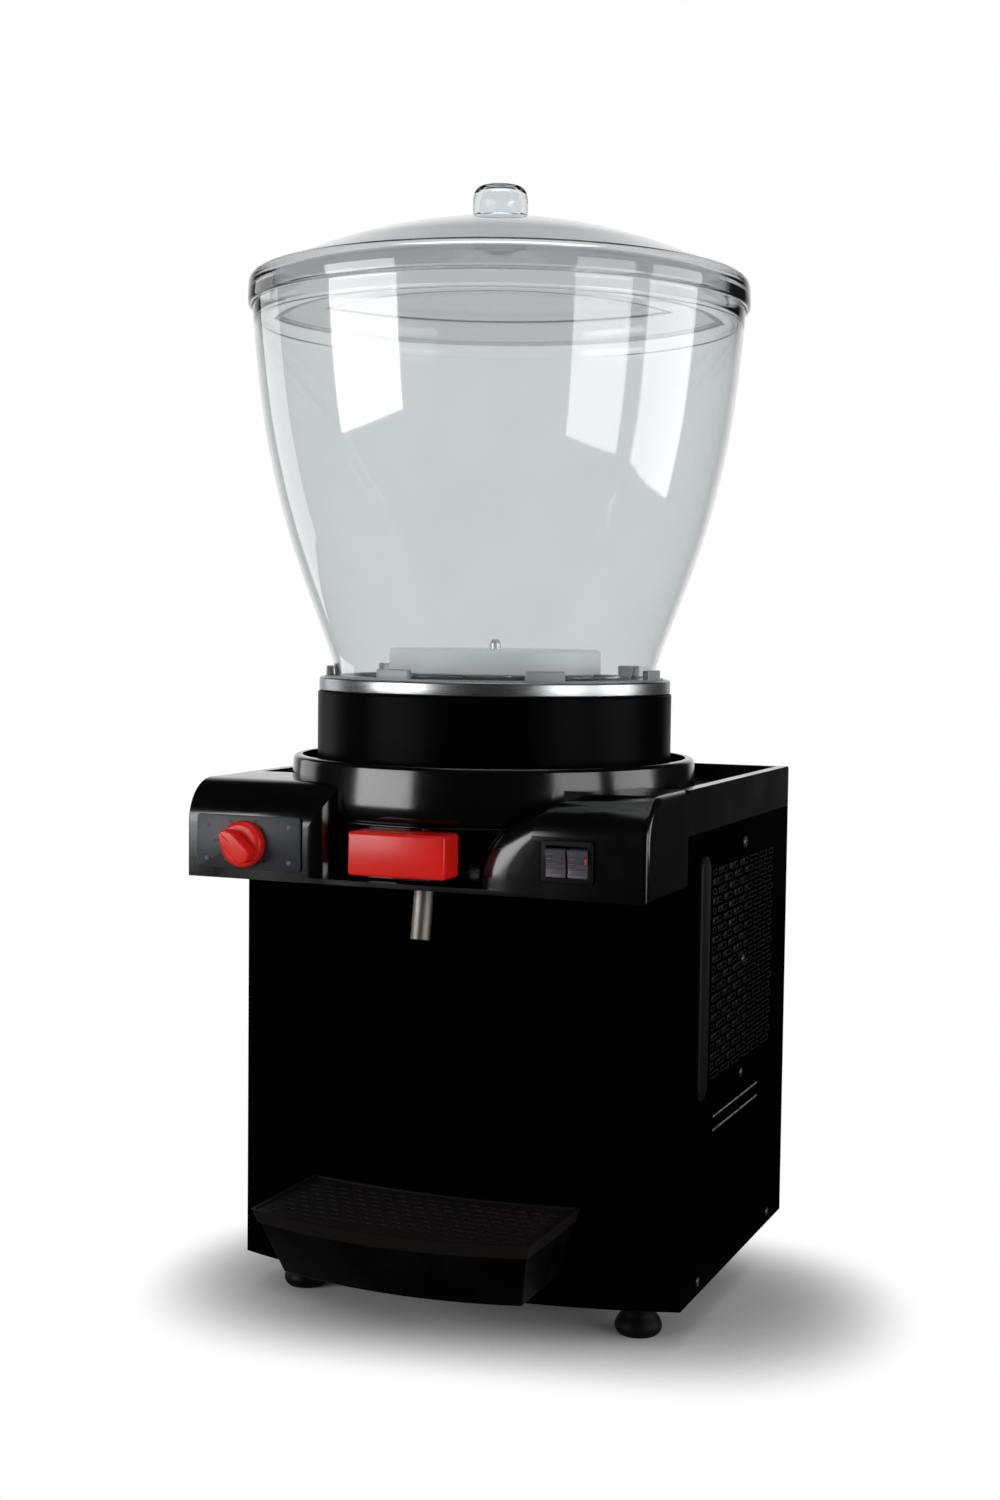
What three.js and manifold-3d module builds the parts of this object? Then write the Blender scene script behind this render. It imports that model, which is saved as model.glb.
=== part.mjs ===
import * as THREE from 'three';
import { mergeVertices } from 'three/addons/utils/BufferGeometryUtils.js';
import Module from 'manifold-3d';

// A countertop dispenser that keeps a yoghurt drink cold and stirred.
// Millimetres, +Z up. Inside the file the case stands on z = 0, its front corners lie on y = 0
// and its middle on x = 0; the last lines move the whole machine onto its own origin.

const wasm = await Module();
wasm.setup();

// Clearances, walls and steps that many pieces share
const gap = 0.3;
const turnGap = 1.5;
const overrun = 2;
const sheet = 1.5;
const moulding = 3;
const coarse = 12;
const fine = 28;
const medium = 24;
const small = 8;
const weld = 1e-4;
const quarter = Math.PI / 2;
const degree = Math.PI / 180;

// The steel case with its bowed front
const cabinet = { width: 340, depth: 275, bow: 30, height: 330, lip: 15, bowSteps: 14 };

// Adjustable feet
const foot = {
  height: 27, padRadius: 17, padHeight: 9, padRound: 3, neckRadius: 10, studRadius: 5, studReach: 16,
  insetX: 38, insetY: 24.5,
};

// The moulded top cover: band, fascia with two pods, the bay between them and the round upstand
const cover = {
  rise: 32, deckDrop: 12, fasciaDrop: 36, reach: 87.5, round: 30, rim: 8, deckFront: 6,
  roundSteps: 5, podDrop: 1,
};
const upstand = { margin: 19, rise: 15, width: 8, round: 3, taper: 10, taperDrop: 8, depth: 27 };
const bay = {
  left: 61, right: 54, floor: 5, depth: 39.5, flareRise: 7, flareWidth: 42, flareHeight: 46, flareSteps: 6,
};

// The bowl's axis, measured back from the front corners, and the seat under it
const axisY = 64;
const collar = { radius: 130, height: 73.2, shelf: 19, lip: 7 };
const baseRing = { inset: 1, wall: 4, height: 10, round: 1 };
const plate = { thickness: 2.5 };
const seal = { width: 9, height: 2 };

// The clear bowl: rings of its outer wall, as shares of its flare and of its height
const bowl = { flare: 61.5, height: 274, wall: 3, flange: 3.2, flangeWidth: 6.5, flangeGap: 1 };
const bowlShares = [
  [0, 0], [0.03, 0.045], [0.2, 0.152], [0.45, 0.305], [0.68, 0.48], [0.84, 0.65], [0.93, 0.81], [1, 1],
];
const lockRing = { width: 4.6, base: 2.5, lug: 9, lugAngle: 13, lugs: 7, lugSteps: 2 };

// The lid and its knob
const lid = {
  skirtWall: 2.9, skirt: 22, wall: 2.6, domeInset: 8.2, shoulder: 5.5, rise: 46.8, domeSteps: 5, bead: 2.5,
};
const lidKnob = { radius: 20, height: 22.5, round: 5, roundSteps: 3 };

// The stirring wheel, its post and the magnets and motor that turn it
const wheel = {
  radius: 78, disc: 5, height: 26, hubRadius: 24, bore: 4.6, vanes: 6, vaneWidth: 4, vaneInset: 6, round: 4,
};
const post = { radius: 4, baseRadius: 12, base: 2, nose: 3 };
const magnet = { inner: 9, outer: 21, height: 5 };
const rotor = { radius: 34, height: 9, shaftRadius: 4, shaftBelow: 20, hub: 10 };
const motor = { radius: 36, height: 52, boss: 14, bossHeight: 8, cap: 26, capHeight: 10 };
const motorPlate = { thickness: 2, clearance: 1 };
const coil = { tube: 3.5, inner: 46, margin: 28.4, turns: 2, stepsPerTurn: 14, drop: 1.5, tail: 16 };

// The tap under the upstand
const tap = {
  paddleWidth: 75, paddleHeight: 32, paddleDepth: 24, paddleReach: 20.5, paddleRise: 2.5, wall: 3,
  pivotReach: 1.5, pivotRise: 26, pinRadius: 2, earRadius: 4, earWidth: 4, earSpan: 30,
  bodyWidth: 28, bodySet: 7.5, bodyDepth: 45, bodyDrop: 4, plungerRise: 11, boreRadius: 5.3,
  plungerRadius: 5, plungerLength: 26.5, neckRadius: 2.4, neckLength: 6.5, landLength: 8, rodRadius: 2.5,
  sealGroove: 3.4, sealSet: 3, sealWidth: 2.4, capDepth: 4, springTube: 1, springTurns: 5,
  springSteps: 8, springSides: 5, springRadius: 3.7,
};
const spout = { radius: 6.8, bore: 4.6, length: 48, set: 23, rise: 5, lean: 10, inlet: 3 };
const outlet = { radius: 5, bore: 3.5, sealGap: 11.5, set: 27.5, bend: 16, steps: 10 };

// The switches on the two pods
const dialPlate = { left: 11.5, width: 78.5, bottom: 4.5, height: 40, thickness: 1.5 };
const knob = {
  radius: 15.5, height: 12, skirt: 4, grip: 8, gripHeight: 7, pointer: 3, shaftRadius: 3, rest: 10,
};
const selector = { centreX: 46.4, centreZ: 25, width: 38, low: 17, high: 11, depth: 30, bushRadius: 5 };
const rocker = {
  centreX: 55, centreZ: 25, bezelWidth: 36, bezelHeight: 28, bezelProud: 2, bodyWidth: 32, bodyHeight: 24.6,
  depth: 24, pocket: 13, wall: 1.6, face: 9.2, rise: 6.6, dish: 1.6, tilt: 8, pinRadius: 1.2, pivotDepth: 4,
};

// The drip tray and its grille
const tray = {
  width: 206, depth: 105, top: 71, bottom: 22, bow: 19, wall: 2.5, draft: 14, hookX: 45,
  hookWidth: 18, hookHeight: 9, hookReach: 9, hookDrop: 12, grilleDrop: 1, ledge: 4, steps: 10,
};
const grille = { thickness: 2.5, holeRadius: 3.8, pitchX: 17, pitchY: 14.5, sides: 6, margin: 9 };

// Side and back panels: louvres, grip strips and screws
const louvre = {
  front: 61, back: 230, bottom: 150, top: 300, rows: 15, columns: 3, slot: 4, bridge: 8, stagger: 9,
};
const strip = { front: 27, width: 22, bottom: 140, height: 173, proud: 2.5, draft: 1.5, endSteps: 6 };
const screw = { headRadius: 4.5, head: 2, shankRadius: 2, shank: 7 };
const screwPlaces = { y: 145, top: 313 };
const vent = { rows: 9, slot: 4, pitch: 12, width: 90, bottom: 180, bridge: 20 };
const inlet = {
  width: 48, height: 28, flange: 2, body: 24, pocketWidth: 24, pocketHeight: 17, pocket: 17, x: 90, z: 55,
  round: 4, roundSteps: 3, pins: 7, pinWidth: 2, pinHeight: 5, pinReach: 12,
};

// The cooling machinery on the base
const compressor = {
  radius: 52, height: 128, x: 92, y: 190, dome: 22, plateWidth: 128, plateDepth: 96, plateThickness: 3,
  matInset: 6, matHeight: 8, domeSteps: 4,
};
const condenser = {
  inset: 14, depth: 26, front: 62, length: 150, bottom: 118, height: 178, fins: 13, fin: 5,
};
const shroud = { thickness: 3, ringRadius: 68, ringDepth: 16, ringWall: 3 };
const fan = {
  radius: 62, hubRadius: 18, hubDepth: 14, setBack: 6, blades: 5, bladeThickness: 2, bladePitch: 28,
  bladeArc: 44, bladeSteps: 4,
};
const fanMotor = { radius: 26, length: 34, shaftRadius: 3, arm: 14 };
const drier = { radius: 9, length: 62, y: 30, x: 62, z: 84, cone: 8 };
const pipe = { radius: 3, sides: 6, bend: 14, steps: 16, riserSteps: 10 };
const controlBox = { width: 84, depth: 46, height: 96, x: 108, y: 44, round: 3 };

// Places worked out from the sizes above
const halfWidth = cabinet.width / 2;
const bowRadius = (halfWidth ** 2 + cabinet.bow ** 2) / (2 * cabinet.bow);
const bowCentre = bowRadius - cabinet.bow;
const panelTop = cabinet.height;
const coverTop = panelTop + cover.rise;
const deckZ = coverTop - cover.deckDrop;
const underDeck = deckZ - moulding;
const podBottom = panelTop - cover.fasciaDrop;
const bayFloor = podBottom + bay.floor;
const bayBack = cover.reach - bay.depth;
const upstandTop = coverTop + upstand.rise;
const upstandBottom = coverTop - upstand.depth;
const upstandRadius = collar.radius + upstand.margin;
const wellRadius = collar.radius - collar.lip;
const seatZ = deckZ + gap;
const collarTop = seatZ + collar.height;
const plateZ = collarTop + gap;
const plateTop = plateZ + plate.thickness;
const sealZ = plateTop + gap;
const bowlZ = sealZ + seal.height + gap;
const bowlRim = bowlZ + bowl.height;
const ringRadius = collar.radius - baseRing.inset;
const ringInner = ringRadius - baseRing.wall;
const plateRadius = ringInner - 2 * gap;
const coilRadius = plateRadius - coil.margin;
const flangeRadius = ringInner - bowl.flangeGap;
const footRadius = flangeRadius - bowl.flangeWidth;
const rimRadius = footRadius + bowl.flare;
const sealInner = footRadius - bowl.wall;
const outletReach = sealInner - outlet.sealGap;
const lockZ = bowlZ + bowl.flange + gap;
const lidRadius = rimRadius + gap + lid.skirtWall;
const domeRadius = lidRadius - lid.domeInset;
const skirtBottom = bowlRim - lid.skirt / 3;
const shoulderZ = skirtBottom + lid.skirt;
const domeZ = shoulderZ + lid.shoulder;
const apexZ = domeZ + lid.rise;
const pivotY = cover.reach + tap.pivotReach;
const pivotZ = bayFloor + tap.pivotRise;
const valveFront = cover.reach - tap.bodySet;
const valveBack = valveFront - tap.bodyDepth;
const valveTop = upstandBottom - tap.bodyDrop;
const plungerZ = bayFloor + tap.plungerRise;
const sealFront = valveFront - tap.sealSet;
const plungerBack = valveFront - tap.plungerLength;
const neckBack = plungerBack + tap.landLength;
const neckFront = neckBack + tap.neckLength;
const spoutY = valveFront - spout.set;
const spoutZ = bayFloor + spout.rise;
const outletY = valveFront - outlet.set;
const frontMost = -(cabinet.bow + tray.depth);
const backMost = cabinet.depth + inlet.flange;
const middleY = (frontMost + backMost) / 2;

// Finishes
const look = (color, roughness, metalness = 0, opacity = 1) => ({
  color, roughness, metalness, opacity, transparent: opacity < 1,
});
const glossBlack = look(0x0b0b0d, 0.22);
const panelBlack = look(0x0a0a0b, 0.3, 0.2);
const satinBlack = look(0x18181a, 0.5);
const darkGrey = look(0x3a3b3e, 0.55);
const red = look(0xb8201a, 0.3);
const steel = look(0xb9b7b0, 0.32, 1);
const silver = look(0xc4c6c8, 0.28, 1);
const clear = look(0xd3dbdc, 0.08, 0, 0.35);
const white = look(0xf0f1f0, 0.35);
const rubber = look(0x131313, 0.8);
const copper = look(0xb87448, 0.35, 1);
const zinc = look(0x9a9da0, 0.45, 1);
const paleGrey = look(0x8f9294, 0.6);

// Closed meshes in, solids out

function solid(geometry) {
  const bare = geometry.clone();
  bare.deleteAttribute('normal');
  bare.deleteAttribute('uv');
  const welded = mergeVertices(bare, weld);
  const index = welded.index.array;
  const triangles = [];
  for (let i = 0; i < index.length; i += 3) {
    const corners = [index[i], index[i + 1], index[i + 2]];
    if (new Set(corners).size === 3) triangles.push(...corners);
  }
  return new wasm.Manifold(new wasm.Mesh({
    numProp: 3,
    vertProperties: new Float32Array(welded.attributes.position.array),
    triVerts: new Uint32Array(triangles),
  }));
}

function addMesh(parent, name, shape, finish) {
  const { vertProperties, triVerts } = shape.getMesh();
  const geometry = new THREE.BufferGeometry();
  geometry.setAttribute('position', new THREE.BufferAttribute(vertProperties, 3));
  geometry.setIndex(new THREE.BufferAttribute(triVerts, 1));
  geometry.computeVertexNormals();
  const mesh = new THREE.Mesh(geometry, new THREE.MeshStandardMaterial(finish));
  mesh.name = name;
  parent.add(mesh);
  return mesh;
}

const join = (...shapes) => shapes.reduce((whole, next) => whole.add(next));
const cut = (shape, ...tools) => tools.reduce((whole, next) => whole.subtract(next), shape);

// A box between two corners
function block(x0, x1, y0, y1, z0, z1) {
  const geometry = new THREE.BoxGeometry(x1 - x0, y1 - y0, z1 - z0);
  geometry.translate((x0 + x1) / 2, (y0 + y1) / 2, (z0 + z1) / 2);
  return solid(geometry);
}

// A turned piece on a vertical axis; the profile runs out along the bottom and back along the top
function turned(profile, x = 0, y = 0, segments = fine) {
  const points = profile.map(([radius, height]) => new THREE.Vector2(radius, height));
  const geometry = new THREE.LatheGeometry(points, segments);
  geometry.rotateX(quarter);
  geometry.translate(x, y, 0);
  return solid(geometry);
}

const disc = (radius, z0, z1, x = 0, y = 0, segments = fine) =>
  turned([[0, z0], [radius, z0], [radius, z1], [0, z1]], x, y, segments);

const ring = (inner, outer, z0, z1, x = 0, y = 0, segments = fine) =>
  turned([[inner, z0], [outer, z0], [outer, z1], [inner, z1], [inner, z0]], x, y, segments);

// Turned pieces lying along x or along y, with their lengths measured on that axis
function turnedAlongX(profile, y, z, segments = coarse) {
  const points = profile.map(([radius, along]) => new THREE.Vector2(radius, along));
  const geometry = new THREE.LatheGeometry(points, segments);
  geometry.rotateZ(-quarter);
  geometry.translate(0, y, z);
  return solid(geometry);
}

function turnedAlongY(profile, x, z, segments = coarse) {
  const points = profile.map(([radius, along]) => new THREE.Vector2(radius, along));
  const geometry = new THREE.LatheGeometry(points, segments);
  geometry.translate(x, 0, z);
  return solid(geometry);
}

const rodAlongX = (radius, x0, x1, y, z, segments = coarse) =>
  turnedAlongX([[0, x0], [radius, x0], [radius, x1], [0, x1]], y, z, segments);

const rodAlongY = (radius, y0, y1, x, z, segments = coarse) =>
  turnedAlongY([[0, y0], [radius, y0], [radius, y1], [0, y1]], x, z, segments);

// Outlines drawn in plan, from the side or from the front, pulled along the third axis
function pulledUp(shape, z0, z1, curveSegments = coarse) {
  const geometry = new THREE.ExtrudeGeometry(shape, { depth: z1 - z0, bevelEnabled: false, curveSegments });
  geometry.translate(0, 0, z0);
  return solid(geometry);
}

function pulledAcross(shape, x0, x1, curveSegments = coarse) {
  const geometry = new THREE.ExtrudeGeometry(shape, { depth: x1 - x0, bevelEnabled: false, curveSegments });
  geometry.rotateY(quarter);
  geometry.rotateX(quarter);
  geometry.translate(x0, 0, 0);
  return solid(geometry);
}

function pulledBack(shape, y0, y1, curveSegments = coarse) {
  const geometry = new THREE.ExtrudeGeometry(shape, { depth: y1 - y0, bevelEnabled: false, curveSegments });
  geometry.rotateX(quarter);
  geometry.translate(0, y1, 0);
  return solid(geometry);
}

function outline(points) {
  return new THREE.Shape(points.map(([x, y]) => new THREE.Vector2(x, y)));
}

// A box with rounded upright edges
function roundedBlock(x0, x1, y0, y1, z0, z1, round) {
  const shape = new THREE.Shape();
  shape.moveTo(x0 + round, y0);
  shape.absarc(x1 - round, y0 + round, round, -quarter, 0);
  shape.absarc(x1 - round, y1 - round, round, 0, quarter);
  shape.absarc(x0 + round, y1 - round, round, quarter, Math.PI);
  shape.absarc(x0 + round, y0 + round, round, Math.PI, 1.5 * Math.PI);
  return pulledUp(shape, z0, z1, small / 2);
}

// A round tube along a route, with a bore where one is given
function tube(points, radius, steps, sides = pipe.sides) {
  const corners = points.map((point) => new THREE.Vector3(...point));
  const route = new THREE.CatmullRomCurve3(corners, false, 'centripetal');
  return alongRoute(route, radius, steps, sides);
}

function alongRoute(route, radius, steps, sides = pipe.sides) {
  const section = new THREE.Shape();
  section.absarc(0, 0, radius, 0, 2 * Math.PI);
  const geometry = new THREE.ExtrudeGeometry(section, {
    steps, extrudePath: route, curveSegments: sides / 2, bevelEnabled: false,
  });
  return solid(geometry);
}

// Points along a circle's arc from one angle to another
function arcPoints(centreX, centreY, radius, from, to, steps) {
  return Array.from({ length: steps + 1 }, (_, i) => {
    const angle = from + ((to - from) * i) / steps;
    return [centreX + radius * Math.cos(angle), centreY + radius * Math.sin(angle)];
  });
}

const around = (count, make) => Array.from({ length: count }, (_, i) => make((i * 2 * Math.PI) / count, i));

// The bowed front line of the case, moved in by an inset, at one distance from the middle
const bowAt = (x, inset = 0) => bowCentre - Math.sqrt((bowRadius - inset) ** 2 - x ** 2);

// The case's plan between its side walls
function casePlan(inset, back) {
  const half = halfWidth - inset;
  const steps = cabinet.bowSteps;
  const front = Array.from({ length: steps + 1 }, (_, i) => {
    const x = -half + (2 * half * i) / steps;
    return [x, bowAt(x, inset)];
  });
  return outline([...front, [half, back], [-half, back]]);
}

// Case

function basePan() {
  const side = sheet + gap;
  const back = cabinet.depth - side;
  const floor = pulledUp(casePlan(side, back), 0, sheet);
  const wall = cut(
    pulledUp(casePlan(side, back), 0, cabinet.lip),
    pulledUp(casePlan(side + sheet, back - sheet), sheet, cabinet.lip + overrun),
  );
  const studs = footPlaces().map(([x, y]) =>
    disc(foot.studRadius + gap, -overrun, cabinet.lip, x, y, coarse));
  return cut(join(floor, wall), ...studs);
}

function frontPanel() {
  const steps = cabinet.bowSteps;
  const across = Array.from({ length: steps + 1 }, (_, i) => -halfWidth + (cabinet.width * i) / steps);
  const outer = across.map((x) => [x, bowAt(x)]);
  const inner = across.map((x) => [x, bowAt(x, sheet)]).reverse();
  const panel = pulledUp(outline([...outer, ...inner]), 0, panelTop);
  const slots = [-1, 1].map((side) => {
    const middle = side * tray.hookX;
    const half = tray.hookWidth / 2 + 2 * gap;
    const bottom = tray.top - tray.hookDrop - tray.hookHeight - 2 * gap;
    const top = tray.top - tray.hookDrop + 2 * gap;
    return block(middle - half, middle + half, -cabinet.bow - overrun, 0, bottom, top);
  });
  return cut(panel, ...slots);
}

const sideFront = () => bowAt(halfWidth, sheet) + gap;

function sidePanel(side) {
  const front = sideFront();
  const back = cabinet.depth - sheet - gap;
  const inner = halfWidth - sheet;
  const wall = block(inner, halfWidth, front, back, 0, panelTop);
  const rowPitch = (louvre.top - louvre.bottom) / louvre.rows;
  const slots = [];
  for (let row = 0; row < louvre.rows; row += 1) {
    const shift = row % 2 === 0 ? 0 : louvre.stagger;
    const length = (louvre.back - louvre.front - louvre.stagger) / louvre.columns;
    const z = louvre.bottom + row * rowPitch;
    for (let column = 0; column < louvre.columns; column += 1) {
      const y = louvre.front + shift + column * length;
      slots.push(block(
        inner - overrun, halfWidth + overrun, y, y + length - louvre.bridge, z, z + louvre.slot,
      ));
    }
  }
  const screwHole = rodAlongX(
    screw.shankRadius + gap, inner - overrun, halfWidth + overrun, screwPlaces.y, screwPlaces.top, small,
  );
  const right = cut(wall, ...slots, screwHole);
  return side > 0 ? right : right.mirror([1, 0, 0]);
}

function backPanel() {
  const front = cabinet.depth - sheet;
  const wall = block(-halfWidth, halfWidth, front, cabinet.depth, 0, panelTop);
  const slots = [];
  for (let row = 0; row < vent.rows; row += 1) {
    for (const side of [-1, 1]) {
      const near = side * vent.bridge / 2;
      const far = near + side * vent.width;
      const z = vent.bottom + row * vent.pitch;
      slots.push(block(
        Math.min(near, far), Math.max(near, far), front - overrun, cabinet.depth + overrun, z, z + vent.slot,
      ));
    }
  }
  const half = inlet.width / 2 - inlet.round + gap;
  const tall = inlet.height / 2 - inlet.round + gap;
  const opening = block(
    inlet.x - half, inlet.x + half, front - overrun, cabinet.depth + overrun, inlet.z - tall, inlet.z + tall,
  );
  return cut(wall, ...slots, opening);
}

const footPlaces = () => [
  [-halfWidth + foot.insetX, foot.insetY],
  [halfWidth - foot.insetX, foot.insetY],
  [-halfWidth + foot.insetX, cabinet.depth - foot.insetY],
  [halfWidth - foot.insetX, cabinet.depth - foot.insetY],
];

function levellingFoot() {
  const top = foot.height - gap;
  return turned([
    [0, 0], [foot.padRadius - foot.padRound, 0], [foot.padRadius, foot.padRound],
    [foot.padRadius, foot.padHeight - foot.padRound], [foot.padRadius - foot.padRound, foot.padHeight],
    [foot.neckRadius, foot.padHeight + foot.padRound], [foot.neckRadius, top], [foot.studRadius, top],
    [foot.studRadius, foot.height + foot.studReach], [0, foot.height + foot.studReach],
  ], 0, 0, coarse);
}

// The ridge that a hand finds on each side of the case
function gripStrip() {
  const { width, height, proud, draft } = strip;
  const end = width / 2;
  const low = strip.bottom + end;
  const high = strip.bottom + height - end;
  const layer = (inset) => {
    const shape = new THREE.Shape();
    shape.absarc(end, low, end - inset, Math.PI, 2 * Math.PI);
    shape.absarc(end, high, end - inset, 0, Math.PI);
    return shape;
  };
  const base = pulledAcross(layer(0), 0, proud / 2, strip.endSteps);
  const crown = pulledAcross(layer(draft), proud / 2, proud, strip.endSteps);
  return join(base, crown).translate([0, strip.front, 0]);
}

function panelScrew() {
  return turnedAlongX([
    [0, -screw.shank], [screw.shankRadius, -screw.shank], [screw.shankRadius, gap],
    [screw.headRadius, gap], [screw.headRadius, gap + screw.head / 2],
    [screw.headRadius / 2, gap + screw.head], [0, gap + screw.head],
  ], 0, 0, small);
}

// Top cover

// The pods from the side: upright front, rounded shoulder, level top
function podProfile(inset, bottom, back) {
  const front = -cover.reach + inset;
  const top = coverTop - cover.podDrop - inset;
  const round = cover.round - inset;
  const shoulder = arcPoints(front + round, top - round, round, Math.PI, quarter, cover.roundSteps);
  return outline([[front, bottom], ...shoulder, [back, top], [back, bottom]]);
}

// The bay from the front: upright on the left, flaring out to the right pod's curved flank
function bayProfile(grow) {
  const left = -bay.left - grow;
  const right = bay.right + grow;
  const floor = bayFloor - grow;
  const top = upstandTop + overrun;
  const flare = Array.from({ length: bay.flareSteps + 1 }, (_, i) => {
    const turn = (i / bay.flareSteps) * quarter;
    return [
      right + bay.flareWidth * (1 - Math.cos(turn)),
      bayFloor + bay.flareRise + bay.flareHeight * Math.sin(turn),
    ];
  });
  return outline([[left, floor], [right, floor], ...flare, [right + bay.flareWidth, top], [left, top]]);
}

function upstandBody(inset, top) {
  const outer = upstandRadius - inset;
  const low = outer - upstand.taper;
  const bottom = upstandBottom + inset;
  return turned([
    [0, bottom], [low, bottom], [outer, coverTop - upstand.taperDrop], [outer, top - upstand.round],
    [outer - upstand.round, top], [0, top],
  ], 0, axisY);
}

function topCover() {
  const wall = moulding;
  const rearTop = coverTop;
  const rear = block(-halfWidth, halfWidth, 0, cabinet.depth, panelTop + gap, rearTop);
  const front = pulledAcross(podProfile(0, podBottom, axisY), -halfWidth, halfWidth);
  const deck = cut(
    block(
      -halfWidth + cover.rim, halfWidth - cover.rim, cover.deckFront, cabinet.depth - cover.rim,
      deckZ, coverTop + overrun,
    ),
    disc(upstandRadius - wall, deckZ - overrun, coverTop + 2 * overrun, 0, axisY),
  );
  const bayCut = pulledBack(bayProfile(0), -cover.reach - overrun, -bayBack);
  const outer = join(cut(join(rear, front), bayCut, deck), upstandBody(0, upstandTop));

  const bayWall = pulledBack(bayProfile(wall), -cover.reach - overrun, -bayBack + wall);
  const podRoom = pulledAcross(
    podProfile(wall, podBottom + wall, overrun), -halfWidth + wall, halfWidth - wall,
  );
  const room = join(
    block(-halfWidth + wall, halfWidth - wall, -wall, cabinet.depth - wall, podBottom + wall, underDeck),
    podRoom,
  );
  const drumRoom = cut(
    upstandBody(wall, underDeck + upstand.round),
    block(-halfWidth, halfWidth, -cover.reach, cabinet.depth, underDeck, coverTop),
  );
  const cabinetRoom = pulledUp(casePlan(-gap, cabinet.depth + overrun), podBottom - overrun, panelTop + gap);
  const gutter = ring(
    collar.radius - wall, upstandRadius - upstand.width, deckZ, upstandTop + overrun, 0, axisY,
  );
  const well = disc(wellRadius, podBottom, upstandTop + overrun, 0, axisY);
  const seatCut = ring(wellRadius - wall, collar.radius, deckZ, upstandTop + overrun, 0, axisY);
  const openings = [selectorHole(), rockerHole(), spoutHole(), tapWindow()];
  const shell = cut(outer, cut(room, bayWall), drumRoom, cabinetRoom, gutter, seatCut);
  return cut(shell, cut(well, bayAndNose()), ...openings, outletHole());
}

// What the round well of the bowl seat leaves standing: the bay's back wall below the upstand
function bayAndNose() {
  return block(-halfWidth, halfWidth, -cover.reach, -bayBack + moulding, podBottom, underDeck - moulding);
}

const outletHole = () => tube(outletRoute(0), outlet.radius + 2 * gap, outlet.steps, coarse);

const dialX = () => -halfWidth + selector.centreX;
const dialZ = () => podBottom + selector.centreZ;
const rockerX = () => halfWidth - rocker.centreX;
const rockerZ = () => podBottom + rocker.centreZ;

const selectorHole = () => rodAlongY(
  selector.bushRadius + gap, -cover.reach - overrun, -cover.reach + moulding + overrun, dialX(), dialZ(),
);

function rockerHole() {
  const half = rocker.bodyWidth / 2 + gap;
  const tall = rocker.bodyHeight / 2 + gap;
  return block(
    rockerX() - half, rockerX() + half, -cover.reach - overrun, -cover.reach + moulding + overrun,
    rockerZ() - tall, rockerZ() + tall,
  );
}

const spoutHole = () =>
  disc(spout.radius + overrun, podBottom - overrun, bayFloor + overrun, 0, -spoutY - gap, coarse);

function tapWindow() {
  const half = tap.bodyWidth / 2 + gap;
  return block(
    -half, half, -bayBack - overrun, -bayBack + moulding + overrun,
    bayFloor - overrun, upstandBottom + moulding,
  );
}

function dialPlateBody() {
  const left = -halfWidth + dialPlate.left;
  const back = -cover.reach - gap;
  const bottom = podBottom + dialPlate.bottom;
  const face = block(
    left, left + dialPlate.width, back - dialPlate.thickness, back, bottom, bottom + dialPlate.height,
  );
  const bushHole = rodAlongY(
    selector.bushRadius + gap, back - dialPlate.thickness - overrun, back + overrun, dialX(), dialZ(),
  );
  return cut(face, bushHole);
}

function selectorBody() {
  const half = selector.width / 2;
  const front = -cover.reach + moulding + gap;
  const face = -cover.reach - gap - dialPlate.thickness;
  const box = block(
    dialX() - half, dialX() + half, front, front + selector.depth,
    dialZ() - selector.low, dialZ() + selector.high,
  );
  const bush = rodAlongY(selector.bushRadius, face, front + overrun, dialX(), dialZ());
  const bore = rodAlongY(
    knob.shaftRadius + gap, face - overrun, front + selector.depth / 2, dialX(), dialZ(),
  );
  return cut(join(box, bush), bore);
}

// The knob points left at rest, a little above level
function selectorKnob() {
  const back = -cover.reach - 2 * gap - dialPlate.thickness;
  const front = back - knob.height;
  const bodyProfile = [
    [0, front], [knob.radius - moulding, front], [knob.radius - gap, front + moulding],
    [knob.radius, back], [0, back],
  ];
  const base = turnedAlongY(bodyProfile, 0, 0, medium);
  const reach = knob.radius + knob.pointer;
  const grip = pulledBack(outline([
    [-reach, 0], [-knob.radius / 2, -knob.grip / 2], [knob.radius - moulding, -knob.grip / 2],
    [knob.radius - moulding, knob.grip / 2], [-knob.radius / 2, knob.grip / 2],
  ]), front - knob.gripHeight, back - knob.skirt);
  const bore = rodAlongY(knob.shaftRadius + gap, front, back + overrun, 0, 0);
  return cut(join(base, grip), bore);
}

function selectorShaft() {
  const back = -cover.reach + moulding + selector.depth / 2 - gap;
  const front = -cover.reach - dialPlate.thickness - knob.height + gap;
  return rodAlongY(knob.shaftRadius, front, back, 0, 0);
}

function rockerHousing() {
  const face = -cover.reach - gap;
  const bezel = block(
    rockerX() - rocker.bezelWidth / 2, rockerX() + rocker.bezelWidth / 2, face - rocker.bezelProud, face,
    rockerZ() - rocker.bezelHeight / 2, rockerZ() + rocker.bezelHeight / 2,
  );
  const body = block(
    rockerX() - rocker.bodyWidth / 2, rockerX() + rocker.bodyWidth / 2, face - gap, face + rocker.depth,
    rockerZ() - rocker.bodyHeight / 2, rockerZ() + rocker.bodyHeight / 2,
  );
  const half = rocker.bodyWidth / 2 - rocker.wall;
  const tall = rocker.bodyHeight / 2 - rocker.wall;
  const pocket = block(
    rockerX() - half, rockerX() + half, face - rocker.bezelProud - overrun, face + rocker.pocket,
    rockerZ() - tall, rockerZ() + tall,
  );
  const pin = rodAlongX(
    rocker.pinRadius + gap, rockerX() - rocker.bodyWidth, rockerX() + rocker.bodyWidth,
    face + rocker.pivotDepth, rockerZ(), small,
  );
  return cut(join(bezel, body), pocket, pin);
}

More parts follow.
